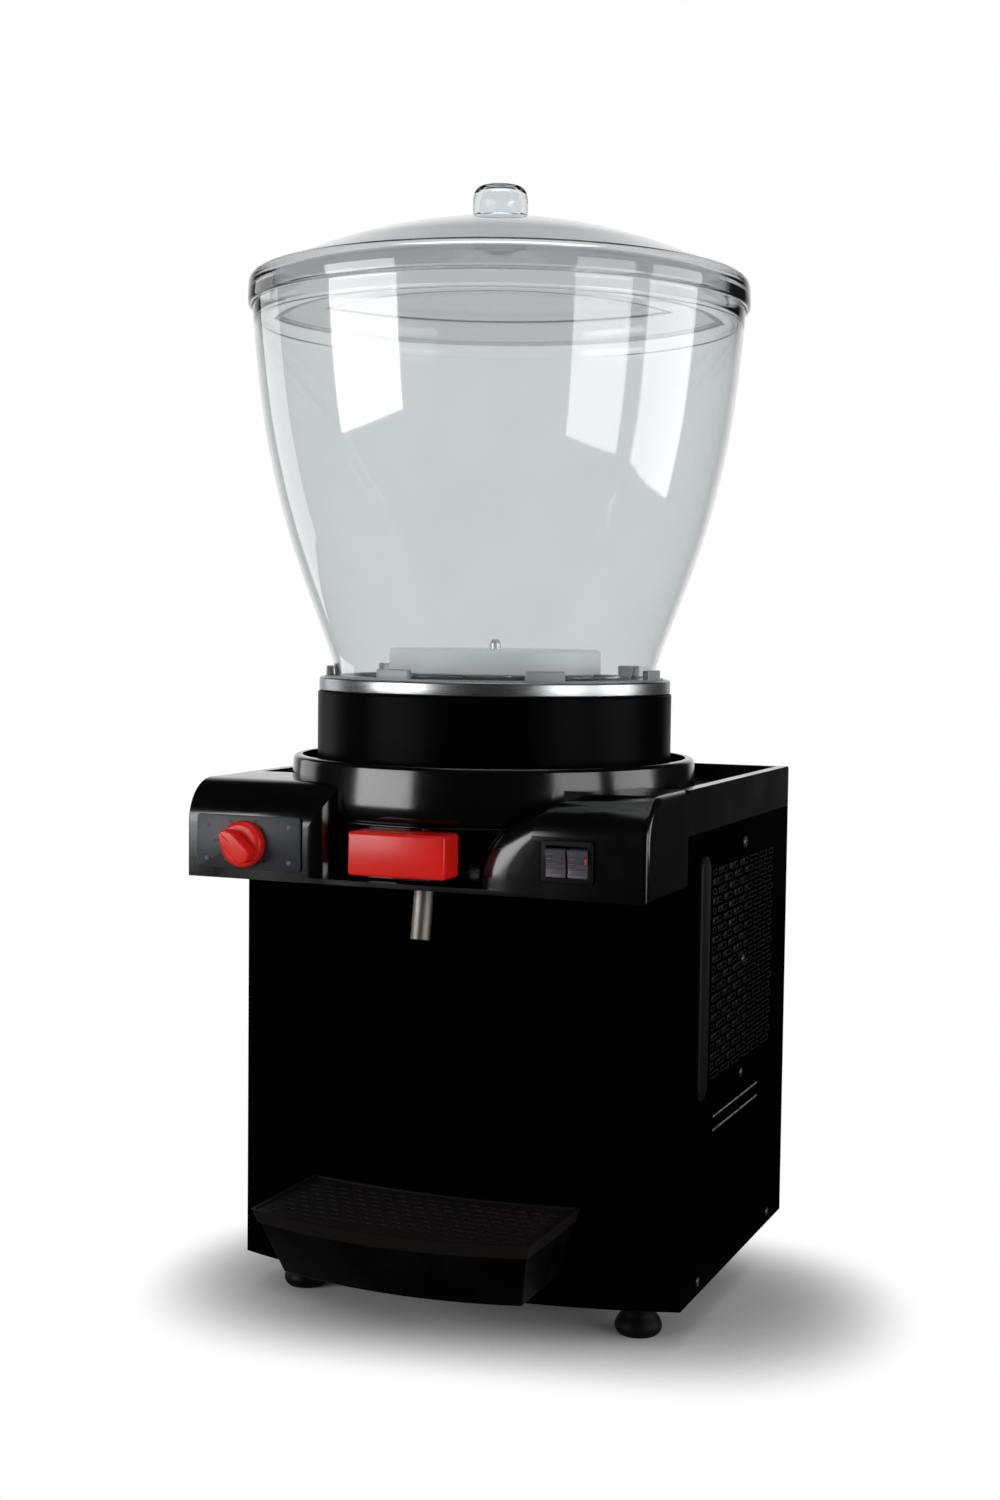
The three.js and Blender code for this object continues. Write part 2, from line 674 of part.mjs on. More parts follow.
// One key of the double switch, about its own axle, with a stub in the housing's wall
function rockerKey(side) {
  const width = rocker.bodyWidth / 2 - rocker.wall - 2 * gap;
  const { face, rise, dish } = rocker;
  const key = pulledAcross(outline([
    [-rise - dish, face], [-rise, 0], [-rise - dish, -face], [-dish, -face],
    [face / 2, -dish], [face / 2, dish], [-dish, face],
  ]), -width / 2, width / 2);
  const reach = width / 2 + rocker.wall / 2;
  const stub = rodAlongX(rocker.pinRadius, side < 0 ? -reach : 0, side < 0 ? 0 : reach, 0, 0, small);
  return join(key, stub);
}

// Tap

function paddle() {
  const half = tap.paddleWidth / 2;
  const front = -cover.reach - tap.paddleReach;
  const back = front + tap.paddleDepth;
  const bottom = bayFloor + tap.paddleRise;
  const top = bottom + tap.paddleHeight;
  const shell = block(-half, half, front, back, bottom, top);
  const room = block(
    -half + tap.wall, half - tap.wall, front + tap.wall, back + overrun, bottom + tap.wall, top - tap.wall,
  );
  const pin = rodAlongX(tap.pinRadius + gap, -half - overrun, half + overrun, -pivotY, pivotZ);
  return cut(shell, room, pin);
}

function paddlePin() {
  const half = tap.paddleWidth / 2;
  return rodAlongX(tap.pinRadius, -half, half, -pivotY, pivotZ);
}

function valveBody() {
  const half = tap.bodyWidth / 2;
  const bottom = bayFloor + gap;
  const main = block(-half, half, -valveFront, -valveBack, bottom, valveTop);
  const ears = [-1, 1].map((side) => {
    const near = side * (tap.earSpan / 2 - tap.earWidth);
    const far = side * tap.earSpan / 2;
    const x0 = Math.min(near, far);
    const x1 = Math.max(near, far);
    const arm = block(
      x0, x1, -pivotY, -valveFront + overrun, pivotZ - tap.earRadius, pivotZ + tap.earRadius,
    );
    return join(arm, rodAlongX(tap.earRadius, x0, x1, -pivotY, pivotZ));
  });
  const pin = rodAlongX(tap.pinRadius + gap, -tap.earSpan, tap.earSpan, -pivotY, pivotZ);
  const bore = rodAlongY(tap.boreRadius, -valveFront - overrun, -valveBack + overrun, 0, plungerZ);
  const socket = leaning(disc(spout.radius + gap, -spout.length, 0, 0, 0, coarse));
  const passage = disc(spout.inlet, plungerZ, valveTop + overrun, 0, -outletY, small);
  const lower = leaning(disc(spout.inlet, -spout.inlet, spout.radius + overrun, 0, 0, small));
  const inletSeat = disc(
    outlet.radius + gap, valveTop - moulding, valveTop + overrun, 0, -outletY, coarse,
  );
  return cut(join(main, ...ears), pin, bore, socket, passage, lower, inletSeat);
}

// From the spout's own upright axis to its place under the tap
function leaning(shape) {
  return shape.rotate([-spout.lean, 0, 0]).translate([0, -spoutY, spoutZ]);
}

function spoutTube() {
  return leaning(ring(spout.bore, spout.radius, -spout.length, -gap, 0, 0, coarse));
}

function plunger() {
  const tip = -cover.reach - tap.paddleReach + tap.wall + gap;
  const head = tap.plungerRadius;
  const rod = tap.rodRadius;
  return turnedAlongY([
    [0, tip], [rod, tip], [rod, -valveFront], [head, -valveFront + gap], [head, -sealFront - gap],
    [tap.sealGroove, -sealFront - gap], [tap.sealGroove, -sealFront + tap.sealWidth + gap],
    [head, -sealFront + tap.sealWidth + gap], [head, -neckFront], [tap.neckRadius, -neckFront],
    [tap.neckRadius, -neckBack], [head, -neckBack], [head, -plungerBack], [0, -plungerBack],
  ], 0, plungerZ, coarse);
}

function plungerSeal() {
  const inner = tap.sealGroove + gap;
  const back = -sealFront + tap.sealWidth;
  return turnedAlongY([
    [inner, -sealFront], [tap.plungerRadius, -sealFront], [tap.plungerRadius, back], [inner, back],
    [inner, -sealFront],
  ], 0, plungerZ, coarse);
}

function valveCap() {
  const back = -valveBack;
  const plug = rodAlongY(tap.boreRadius - gap, back - tap.capDepth, back + gap, 0, plungerZ);
  const flange = rodAlongY(tap.boreRadius + tap.wall, back + gap, back + tap.wall, 0, plungerZ);
  return join(plug, flange);
}

class Coil extends THREE.Curve {
  constructor(start, end, x, z, radius, turns) {
    super();
    Object.assign(this, { start, end, x, z, radius, turns });
  }

  getPoint(share) {
    const angle = 2 * Math.PI * this.turns * share;
    return new THREE.Vector3(
      this.x + this.radius * Math.cos(angle),
      this.start + (this.end - this.start) * share,
      this.z + this.radius * Math.sin(angle),
    );
  }
}

function plungerSpring() {
  const wire = tap.springTube / 2;
  const start = -plungerBack + wire + gap;
  const end = -valveBack - tap.capDepth - wire - gap;
  const route = new Coil(start, end, 0, plungerZ, tap.springRadius, tap.springTurns);
  return alongRoute(route, wire, tap.springTurns * tap.springSteps, tap.springSides);
}

// Bowl seat and the stirring gear

// The outlet pipe's route, with its ends drawn out by a length
function outletRoute(extra) {
  const top = plateTop + gap;
  const bottom = valveTop - moulding + gap;
  const near = axisY - outletReach;
  const far = -outletY;
  return [
    [0, far, bottom - extra], [0, far, bottom + outlet.bend], [0, near, plateZ - outlet.bend],
    [0, near, top + extra],
  ];
}

function outletPipe() {
  const body = tube(outletRoute(0), outlet.radius, outlet.steps, small);
  return cut(body, tube(outletRoute(overrun), outlet.bore, outlet.steps, small));
}

function collarBody() {
  const inner = collar.radius - moulding;
  const shelf = collar.radius - collar.shelf;
  return turned([
    [inner, seatZ], [collar.radius, seatZ], [collar.radius, collarTop], [shelf, collarTop],
    [shelf, collarTop - moulding], [inner, collarTop - moulding], [inner, seatZ],
  ], 0, axisY);
}

function coolingPlate() {
  const outletCut = disc(
    outlet.radius + gap, plateZ - overrun, plateTop + overrun, 0, axisY - outletReach, coarse,
  );
  return cut(disc(plateRadius, plateZ, plateTop, 0, axisY), outletCut);
}

function silverRing() {
  const inner = ringInner;
  const top = plateZ + baseRing.height;
  return turned([
    [inner, plateZ], [ringRadius, plateZ], [ringRadius, top - baseRing.round],
    [ringRadius - baseRing.round, top], [inner, top], [inner, plateZ],
  ], 0, axisY);
}

const sealRing = () => ring(sealInner, sealInner + seal.width, sealZ, sealZ + seal.height, 0, axisY);

function bowlRadius(share) {
  return footRadius + (rimRadius - footRadius) * share;
}

function bowlBody() {
  const flangeTop = bowlZ + bowl.flange;
  const wallHeight = bowl.height - bowl.flange;
  const outer = bowlShares.map(([flare, rise]) => [bowlRadius(flare), flangeTop + wallHeight * rise]);
  const inner = bowlShares.map(([flare, rise]) => [
    bowlRadius(flare) - bowl.wall, flangeTop + wallHeight * rise,
  ]).reverse();
  const heel = footRadius - bowl.wall;
  return turned([
    [heel, bowlZ], [flangeRadius, bowlZ], [flangeRadius, flangeTop], ...outer, ...inner,
    [heel, bowlZ],
  ], 0, axisY);
}

// Dark ring on the bowl's flange with its locking lugs
function lockingRing() {
  const outer = flangeRadius;
  const inner = outer - lockRing.width;
  const base = ring(inner, outer, lockZ, lockZ + lockRing.base, 0, axisY);
  const half = (lockRing.lugAngle * degree) / 2;
  const lugs = around(lockRing.lugs, (angle) => {
    const arc = new THREE.Shape();
    arc.absarc(0, 0, outer, angle - half, angle + half, false);
    arc.absarc(0, 0, inner, angle + half, angle - half, true);
    return pulledUp(arc, lockZ + lockRing.base / 2, lockZ + lockRing.lug, lockRing.lugSteps)
      .translate([0, axisY, 0]);
  });
  return join(base, ...lugs);
}

function wheelPost() {
  const bottom = plateTop + gap;
  const top = bottom + post.base + wheel.height + magnet.height + post.nose;
  return turned([
    [0, bottom], [post.baseRadius, bottom], [post.baseRadius, bottom + post.base],
    [post.radius, bottom + post.base], [post.radius, top - post.radius / 2], [post.radius / 2, top], [0, top],
  ], 0, axisY, coarse);
}

const magnetZ = () => plateTop + gap + post.base + gap;

const wheelMagnet = () =>
  ring(magnet.inner, magnet.outer, magnetZ(), magnetZ() + magnet.height, 0, axisY, medium);

function stirringWheel() {
  const bottom = magnetZ() + magnet.height + gap;
  const top = bottom + wheel.height - magnet.height;
  const shape = turned([
    [wheel.bore, bottom], [wheel.hubRadius, bottom], [wheel.hubRadius, top - wheel.disc],
    [wheel.radius, top - wheel.disc], [wheel.radius, top - wheel.round / 2],
    [wheel.radius - wheel.round / 2, top], [wheel.bore, top], [wheel.bore, bottom],
  ], 0, axisY);
  const vanes = around(wheel.vanes, (angle) =>
    block(
      wheel.hubRadius - overrun, wheel.radius - wheel.vaneInset, -wheel.vaneWidth / 2, wheel.vaneWidth / 2,
      bottom, top - wheel.disc / 2,
    ).rotate([0, 0, angle / degree]).translate([0, axisY, 0]));
  return join(shape, ...vanes);
}

// Driving magnet and motor under the plate
const rotorTop = () => plateZ - coil.drop - 2 * coil.tube - turnGap;

function driveRotor() {
  const top = rotorTop();
  const bottom = top - rotor.height;
  const shaftBottom = seatZ - rotor.shaftBelow;
  return turned([
    [0, shaftBottom], [rotor.shaftRadius, shaftBottom], [rotor.shaftRadius, bottom - rotor.hub],
    [rotor.hub, bottom - rotor.hub], [rotor.hub, bottom], [rotor.radius, bottom], [rotor.radius, top],
    [0, top],
  ], 0, axisY, medium);
}

function mixerMotor() {
  const top = seatZ - gap;
  const plateUp = top + gap + motorPlate.thickness;
  const bore = rotor.shaftRadius + gap;
  const shaftRoom = seatZ - rotor.shaftBelow - turnGap;
  return turned([
    [0, top - motor.height - motor.capHeight], [motor.cap, top - motor.height - motor.capHeight],
    [motor.cap, top - motor.height], [motor.radius, top - motor.height], [motor.radius, top],
    [motor.boss, top], [motor.boss, plateUp + motor.bossHeight], [bore, plateUp + motor.bossHeight],
    [bore, shaftRoom], [0, shaftRoom],
  ], 0, axisY, medium);
}

function motorPlateBody() {
  const top = seatZ + motorPlate.thickness;
  const body = disc(collar.radius - moulding - motorPlate.clearance, seatZ, top, 0, axisY);
  const bossCut = disc(motor.boss + gap, seatZ - overrun, top + overrun, 0, axisY, medium);
  const outletCut = disc(
    outlet.radius + overrun, seatZ - overrun, top + overrun, 0, -outletAt(seatZ), coarse,
  );
  const pipeCuts = coilEnds().map(([x, y]) =>
    disc(coil.tube + overrun, seatZ - overrun, top + overrun, x, y, coarse));
  return cut(body, bossCut, outletCut, ...pipeCuts);
}

// How far in front of the case's corners the outlet pipe passes a given height
function outletAt(z) {
  const low = valveTop - moulding + gap + outlet.bend;
  const high = plateZ - outlet.bend;
  const near = outletReach - axisY;
  return outletY + ((near - outletY) * (z - low)) / (high - low);
}

// Cooling coil: a flat spiral under the plate whose two tails turn down beside the motor
const coilZ = () => plateZ - coil.drop - coil.tube;
const coilEnds = () => [
  [coil.inner, axisY - coil.tail, underDeck - coil.tail],
  [coilRadius, axisY + coil.tail, underDeck - coil.tail],
];

function evaporator() {
  const steps = coil.turns * coil.stepsPerTurn;
  const spiral = Array.from({ length: steps + 1 }, (_, i) => {
    const angle = (2 * Math.PI * i) / coil.stepsPerTurn;
    const radius = coil.inner + ((coilRadius - coil.inner) * i) / steps;
    return [radius * Math.cos(angle), axisY + radius * Math.sin(angle), coilZ()];
  });
  const tails = coilEnds().map(([x, y, z]) => [[x, y, z], [x, y, coilZ() - coil.tail]]);
  const route = [...tails[0], ...spiral, ...tails[1].reverse()];
  return tube(route, coil.tube, steps + 2 * coil.stepsPerTurn);
}

// Machinery on the base

const compressorX = () => -halfWidth + compressor.x;
const plateUnder = () => sheet + gap + compressor.matHeight + gap;

function compressorPlate() {
  const z = plateUnder();
  const halfX = compressor.plateWidth / 2;
  const halfY = compressor.plateDepth / 2;
  return block(
    compressorX() - halfX, compressorX() + halfX, compressor.y - halfY, compressor.y + halfY,
    z, z + compressor.plateThickness,
  );
}

// Rubber mat that keeps the compressor's hum off the base
function compressorMat() {
  const bottom = sheet + gap;
  const halfX = compressor.plateWidth / 2 - compressor.matInset;
  const halfY = compressor.plateDepth / 2 - compressor.matInset;
  return block(
    compressorX() - halfX, compressorX() + halfX, compressor.y - halfY, compressor.y + halfY,
    bottom, bottom + compressor.matHeight,
  );
}

function compressorCan() {
  const bottom = plateUnder() + compressor.plateThickness + gap;
  const top = bottom + compressor.height;
  const { radius, dome } = compressor;
  const rise = Array.from({ length: compressor.domeSteps + 1 }, (_, i) => {
    const turn = (i / compressor.domeSteps) * (quarter);
    return [radius * Math.cos(turn), top - dome + dome * Math.sin(turn)];
  });
  return turned([
    [0, bottom], [radius - moulding, bottom], [radius, bottom + moulding], ...rise.slice(0, -1), [0, top],
  ], compressorX(), compressor.y, medium);
}

const condenserX = () => halfWidth - condenser.inset - condenser.depth;

function condenserBody() {
  const x0 = condenserX();
  const x1 = x0 + condenser.depth;
  const y0 = condenser.front;
  const y1 = y0 + condenser.length;
  const z0 = condenser.bottom;
  const z1 = z0 + condenser.height;
  const pitch = condenser.length / condenser.fins;
  const core = block(x0, x1, y0, y1, z0, z1);
  const slots = Array.from({ length: condenser.fins - 1 }, (_, i) => {
    const y = y0 + (i + 1) * pitch;
    return block(
      x1 - condenser.depth / 3, x1 + overrun, y - condenser.fin / 2, y + condenser.fin / 2,
      z0 - overrun, z1 + overrun,
    );
  });
  const legs = [y0, y1 - moulding].map((y) => block(x0, x1, y, y + moulding, sheet + gap, z1));
  return join(cut(core, ...slots), ...legs);
}

const fanY = () => condenser.front + condenser.length / 2;
const fanZ = () => condenser.bottom + condenser.height / 2;
const shroudX = () => condenserX() - gap - shroud.thickness;

function fanShroud() {
  const x1 = condenserX() - gap;
  const x0 = shroudX();
  const flat = block(
    x0, x1, condenser.front, condenser.front + condenser.length,
    condenser.bottom, condenser.bottom + condenser.height,
  );
  const outer = shroud.ringRadius + shroud.ringWall;
  const tunnel = rodAlongX(outer, x0 - shroud.ringDepth, x1, fanY(), fanZ(), fine);
  const bore = rodAlongX(
    shroud.ringRadius, x0 - shroud.ringDepth - overrun, x1 + overrun, fanY(), fanZ(), fine,
  );
  return cut(join(flat, tunnel), bore);
}

const fanFront = () => shroudX() - fan.setBack;
const fanBack = () => fanFront() - fan.hubDepth;

function fanWheel() {
  const middle = (fanFront() + fanBack()) / 2;
  const hub = rodAlongX(fan.hubRadius, fanBack(), fanFront(), 0, 0, medium);
  const bore = rodAlongX(
    fanMotor.shaftRadius + gap, fanBack() - overrun, fanFront() - moulding, 0, 0, medium,
  );
  const half = (fan.bladeArc * degree) / 2;
  const blade = new THREE.Shape();
  blade.absarc(0, 0, fan.radius, -half, half, false);
  blade.absarc(0, 0, fan.hubRadius - moulding, half, -half, true);
  const blades = around(fan.blades, (angle) =>
    pulledUp(blade, -fan.bladeThickness / 2, fan.bladeThickness / 2, fan.bladeSteps)
      .rotate([fan.bladePitch, 0, 0])
      .rotate([0, 0, angle / degree])
      .rotate([0, 90, 0])
      .translate([middle, 0, 0]));
  return cut(join(hub, ...blades), bore).translate([0, fanY(), fanZ()]);
}

function fanMotorBody() {
  const front = fanBack() - turnGap;
  const back = front - fanMotor.length;
  return turnedAlongX([
    [0, back], [fanMotor.radius - moulding, back], [fanMotor.radius, back + moulding],
    [fanMotor.radius, front - moulding],
    [fanMotor.radius - moulding, front], [fanMotor.shaftRadius, front],
    [fanMotor.shaftRadius, fanFront() - moulding - gap], [0, fanFront() - moulding - gap],
  ], fanY(), fanZ(), medium);
}

// A strap round the fan motor on a post from the base
function fanBracket() {
  const front = fanBack() - turnGap - 2 * moulding;
  const back = front - fanMotor.arm;
  const outer = fanMotor.radius + gap + moulding;
  const strap = cut(
    rodAlongX(outer, back, front, fanY(), fanZ(), medium),
    rodAlongX(fanMotor.radius + gap, back - overrun, front + overrun, fanY(), fanZ(), medium),
  );
  const half = fanMotor.arm;
  const bottom = sheet + gap;
  const postBody = cut(
    block(back, front, fanY() - half, fanY() + half, bottom, fanZ()),
    rodAlongX(fanMotor.radius + gap, back - overrun, front + overrun, fanY(), fanZ(), medium),
  );
  const flat = block(back - 2 * half, front, fanY() - half, fanY() + half, bottom, bottom + moulding);
  return join(strap, postBody, flat);
}

function controlBoxBody() {
  const x = -halfWidth + controlBox.x;
  return roundedBlock(
    x - controlBox.width / 2, x + controlBox.width / 2, controlBox.y - controlBox.depth / 2,
    controlBox.y + controlBox.depth / 2, sheet + gap, sheet + gap + controlBox.height, controlBox.round,
  );
}

// Power socket in the back panel
function powerInlet() {
  const back = cabinet.depth;
  const flange = pulledBack(
    roundRect(inlet.width, inlet.height, inlet.round), back + gap, back + inlet.flange, inlet.roundSteps,
  );
  const neckWidth = inlet.width - 2 * inlet.round;
  const neckHeight = inlet.height - 2 * inlet.round;
  const body = block(
    -neckWidth / 2, neckWidth / 2, back - inlet.body, back + inlet.flange / 2,
    -neckHeight / 2, neckHeight / 2,
  );
  const pocket = block(
    -inlet.pocketWidth / 2, inlet.pocketWidth / 2, back - inlet.pocket, back + inlet.flange + overrun,
    -inlet.pocketHeight / 2, inlet.pocketHeight / 2,
  );
  const pins = [-1, 0, 1].map((step) => {
    const lift = step === 0 ? inlet.pinHeight / 2 : -inlet.pinHeight / 2;
    return block(
      step * inlet.pins - inlet.pinWidth / 2, step * inlet.pins + inlet.pinWidth / 2,
      back - inlet.pocket - gap, back - inlet.pocket + inlet.pinReach,
      lift - inlet.pinHeight / 2, lift + inlet.pinHeight / 2,
    );
  });
  return join(cut(join(flange, body), pocket), ...pins).translate([inlet.x, 0, inlet.z]);
}

function roundRect(width, height, round) {
  const x = width / 2 - round;
  const y = height / 2 - round;
  const shape = new THREE.Shape();
  shape.absarc(x, -y, round, -quarter, 0);
  shape.absarc(x, y, round, 0, quarter);
  shape.absarc(-x, y, round, quarter, Math.PI);
  shape.absarc(-x, -y, round, Math.PI, 1.5 * Math.PI);
  return shape;
}

// Drip tray

const trayFrontAt = (x, inset) => {
  const half = tray.width / 2;
  const radius = (half ** 2 + tray.bow ** 2) / (2 * tray.bow);
  return frontMost + inset + radius - Math.sqrt(radius ** 2 - x ** 2);
};

// The tray's plan at one level: bowed front, straight sides, back hollowed to the case's bow
function trayPlan(inset, backInset) {
  const half = tray.width / 2 - inset;
  const steps = tray.steps;
  const across = Array.from({ length: steps + 1 }, (_, i) => -half + (2 * half * i) / steps);
  const front = across.map((x) => [x, trayFrontAt(x, inset)]);
  const back = across.map((x) => [x, bowAt(x) - gap - backInset]).reverse();
  return outline([...front, ...back]);
}

// A tray-shaped plug whose sides and front lean in towards the bottom
function trayPlug(inset, backInset, z0, z1) {
  const backAt = (x) => bowAt(x) - gap - backInset;
  const plan = trayPlan(inset, backInset);
  const geometry = new THREE.ExtrudeGeometry(plan, { depth: z1 - z0, bevelEnabled: false });
  geometry.translate(0, 0, z0);
  const place = geometry.attributes.position;
  for (let i = 0; i < place.count; i += 1) {
    const x = place.getX(i);
    const y = place.getY(i);
    const lean = (tray.draft * Math.max(0, tray.top - place.getZ(i))) / (tray.top - tray.bottom);
    const leanX = x * (1 - lean / (tray.width / 2));
    const onBack = Math.abs(y - backAt(x)) < gap / 2;
    place.setX(i, leanX);
    place.setY(i, onBack ? backAt(leanX) : y + 2 * lean);
  }
  return solid(geometry);
}

function dripTray() {
  const outer = trayPlug(0, 0, tray.bottom, tray.top);
  const thick = tray.wall + tray.ledge;
  const basin = trayPlug(thick, thick, tray.bottom + tray.wall, tray.top + overrun);
  const seat = pulledUp(trayPlan(tray.wall, tray.wall), grilleZ() - gap, tray.top + overrun);
  const hooks = [-1, 1].map((side) => {
    const middle = side * tray.hookX;
    const half = tray.hookWidth / 2;
    const top = tray.top - tray.hookDrop;
    const face = bowAt(tray.hookX);
    return block(
      middle - half, middle + half, face - tray.wall, face + tray.hookReach, top - tray.hookHeight, top,
    );
  });
  return join(cut(outer, basin, seat), ...hooks);
}

const grilleZ = () => tray.top - tray.grilleDrop - grille.thickness;

function dripGrille() {
  const inset = tray.wall + gap;
  const z0 = grilleZ();
  const z1 = z0 + grille.thickness;
  const shape = trayPlan(inset + gap, inset);
  const half = tray.width / 2 - tray.wall - grille.margin;
  const columns = Math.floor((2 * half) / grille.pitchX / 2);
  let row = 0;
  for (let y = -cabinet.bow - grille.margin - tray.wall; y > frontMost + grille.margin; y -= grille.pitchY) {
    const shift = row % 2 === 0 ? 0 : grille.pitchX / 2;
    for (let step = -columns; step <= columns; step += 1) {
      const x = step * grille.pitchX + shift;
      const inFront = y - grille.holeRadius - tray.wall - trayFrontAt(x, inset) > 0;
      if (Math.abs(x) < half && inFront) {
        const round = new THREE.Path();
        round.absarc(x, y, grille.holeRadius, 0, 2 * Math.PI);
        shape.holes.push(round);
      }
    }
    row += 1;
  }
  return pulledUp(shape, z0, z1, grille.sides / 2);
}

// Lid

function lidBody() {
  const outer = lidRadius;
  const inner = rimRadius + gap;
  const top = shoulderZ;
  const dome = domePoints(domeRadius, domeZ, lid.rise);
  const under = domePoints(domeRadius - lid.wall, domeZ - lid.wall, lid.rise);
  const seat = bowlRim + gap;
  return turned([
    [inner, skirtBottom], [outer - lid.bead / 2, skirtBottom], [outer, skirtBottom + lid.bead],
    [outer, top - lid.shoulder], [outer - lid.bead, top - lid.shoulder / 4], ...dome,
    ...under.reverse(), [inner - bowl.wall, seat + lid.wall], [inner - bowl.wall, seat], [inner, seat],
    [inner, skirtBottom],
  ], 0, axisY);
}

function domePoints(radius, base, rise) {
  const sphere = (radius ** 2 + rise ** 2) / (2 * rise);
  return Array.from({ length: lid.domeSteps + 1 }, (_, i) => {
    const r = (radius * (lid.domeSteps - i)) / lid.domeSteps;
    return [r, base + rise - sphere + Math.sqrt(sphere ** 2 - r ** 2)];
  });
}

function lidKnobBody() {
  const bottom = apexZ + gap;
  const top = bottom + lidKnob.height;
  const { radius, round: soft, roundSteps } = lidKnob;
  const shoulder = arcPoints(radius - soft, top - soft, soft, 0, quarter, roundSteps);
  return turned([[0, bottom], [radius, bottom], ...shoulder, [0, top]], 0, axisY, medium);
}

// Refrigerant pipes

const canTop = () => plateUnder() + compressor.plateThickness + gap + compressor.height;

// From the compressor's side up to the back end of the condenser
function dischargeLine() {
  const start = compressorX() + compressor.radius + gap;
  const z = canTop() - compressor.dome - pipe.bend;
  const x = condenserX() + condenser.depth / 2;
  const y = condenser.front + condenser.length + gap;
  const high = condenser.bottom + condenser.height - pipe.bend;
  return tube([
    [start, compressor.y, z], [start + pipe.bend, compressor.y, z],
    [start + 3 * pipe.bend, y + 2 * pipe.bend, z + pipe.bend], [x, y + 2 * pipe.bend, high - pipe.bend],
    [x, y + pipe.bend, high], [x, y, high],
  ], pipe.radius, pipe.steps);
}

// From the coil's outer tail over the fan motor down into the top of the compressor
function suctionLine() {
  const [x, y, z] = coilEnds()[1];
  const end = compressorX();
  return tube([
    [x, y, z - gap], [x, y, z - pipe.bend], [(x + end) / 2, (y + compressor.y) / 2, z - 4 * pipe.bend],
    [end, compressor.y, canTop() + 3 * pipe.bend], [end, compressor.y, canTop() + gap],
  ], pipe.radius, pipe.steps);
}

// The drier's can, with the pipe from the condenser and the one up to the coil's inner tail
function filterDrier() {
  const { radius, length, cone, x, y, z } = drier;
  const can = turned([
    [0, z], [pipe.radius, z], [radius, z + cone], [radius, z + length - cone], [pipe.radius, z + length],
    [0, z + length],
  ], x, y, coarse);
  const end = condenserX() + condenser.depth / 2;
  const low = condenser.bottom + pipe.bend;
  const feed = tube([
    [x, y, z + pipe.radius], [x, y, z - pipe.bend], [(x + end) / 2, y - pipe.bend, z - 2 * pipe.bend],
    [end, y - pipe.bend, low - pipe.bend], [end, condenser.front - pipe.bend, low],
    [end, condenser.front - gap, low],
  ], pipe.radius, pipe.steps);
  const [coilX, coilY, coilLow] = coilEnds()[0];
  const top = z + length;
  const riser = tube([
    [x, y, top - pipe.radius], [x, y, top + pipe.bend], [coilX, coilY, coilLow - 2 * pipe.bend],
    [coilX, coilY, coilLow - gap],
  ], pipe.radius, pipe.riserSteps);
  return join(can, feed, riser);
}

// Assembly

const machine = new THREE.Group();
machine.position.set(0, -middleY, foot.height);

const put = (name, shape, finish, place = [0, 0, 0]) => {
  const mesh = addMesh(machine, name, shape, finish);
  mesh.position.set(...place);
  return mesh;
};

put('base_pan', basePan(), zinc);
put('front_panel', frontPanel(), panelBlack);
put('side_panel_left', sidePanel(-1), panelBlack);
put('side_panel_right', sidePanel(1), panelBlack);
put('back_panel', backPanel(), panelBlack);
const footNames = ['front_left', 'front_right', 'back_left', 'back_right'];
footPlaces().forEach(([x, y], i) => {
  put(`foot_${footNames[i]}`, levellingFoot(), rubber, [x, y, -foot.height]);
});

for (const side of [-1, 1]) {
  const word = side < 0 ? 'left' : 'right';
  const facing = side < 0 ? Math.PI : 0;
  const x = side * (halfWidth + gap);
  const ridge = side > 0 ? gripStrip() : gripStrip().mirror([1, 0, 0]);
  put(`grip_strip_${word}`, ridge, satinBlack, [x, 0, 0]);
  put(`panel_screw_${word}`, panelScrew(), silver, [
    side * halfWidth, screwPlaces.y, screwPlaces.top,
  ]).rotation.z = facing;
}

put('top_cover', topCover(), glossBlack);
put('dial_plate', dialPlateBody(), darkGrey);
put('selector_switch', selectorBody(), satinBlack);
put('selector_shaft', selectorShaft(), steel, [dialX(), 0, dialZ()]);
put('selector_knob', selectorKnob(), red, [dialX(), 0, dialZ()]).rotation.y = knob.rest * degree;
put('rocker_housing', rockerHousing(), darkGrey);
for (const side of [-1, 1]) {
  const width = rocker.bodyWidth / 2 - rocker.wall - 2 * gap;
  const x = rockerX() + side * (width / 2 + gap);
  const key = put(`rocker_${side < 0 ? 'left' : 'right'}`, rockerKey(side), darkGrey, [
    x, -cover.reach - gap + rocker.pivotDepth, rockerZ(),
  ]);
  key.rotation.x = -rocker.tilt * degree;
}

put('tap_paddle', paddle(), red);
put('paddle_pin', paddlePin(), steel);
put('valve_body', valveBody(), satinBlack);
put('valve_plunger', plunger(), steel);
put('plunger_seal', plungerSeal(), rubber);
put('plunger_spring', plungerSpring(), steel);
put('valve_cap', valveCap(), satinBlack);
put('spout', spoutTube(), steel);
put('outlet_pipe', outletPipe(), steel);

put('drip_tray', dripTray(), glossBlack);
put('drip_grille', dripGrille(), satinBlack);

put('collar', collarBody(), glossBlack);
put('cooling_plate', coolingPlate(), steel);
put('cooling_coil', evaporator(), copper);
put('base_ring', silverRing(), silver);
put('bowl_seal', sealRing(), white);
put('bowl', bowlBody(), clear);
put('locking_ring', lockingRing(), paleGrey);
put('wheel_post', wheelPost(), steel);
put('wheel_magnet', wheelMagnet(), zinc);
put('stirring_wheel', stirringWheel(), white);
put('drive_rotor', driveRotor(), zinc);
put('mixer_motor', mixerMotor(), satinBlack);
put('motor_plate', motorPlateBody(), zinc);
put('lid', lidBody(), clear);
put('lid_knob', lidKnobBody(), clear);

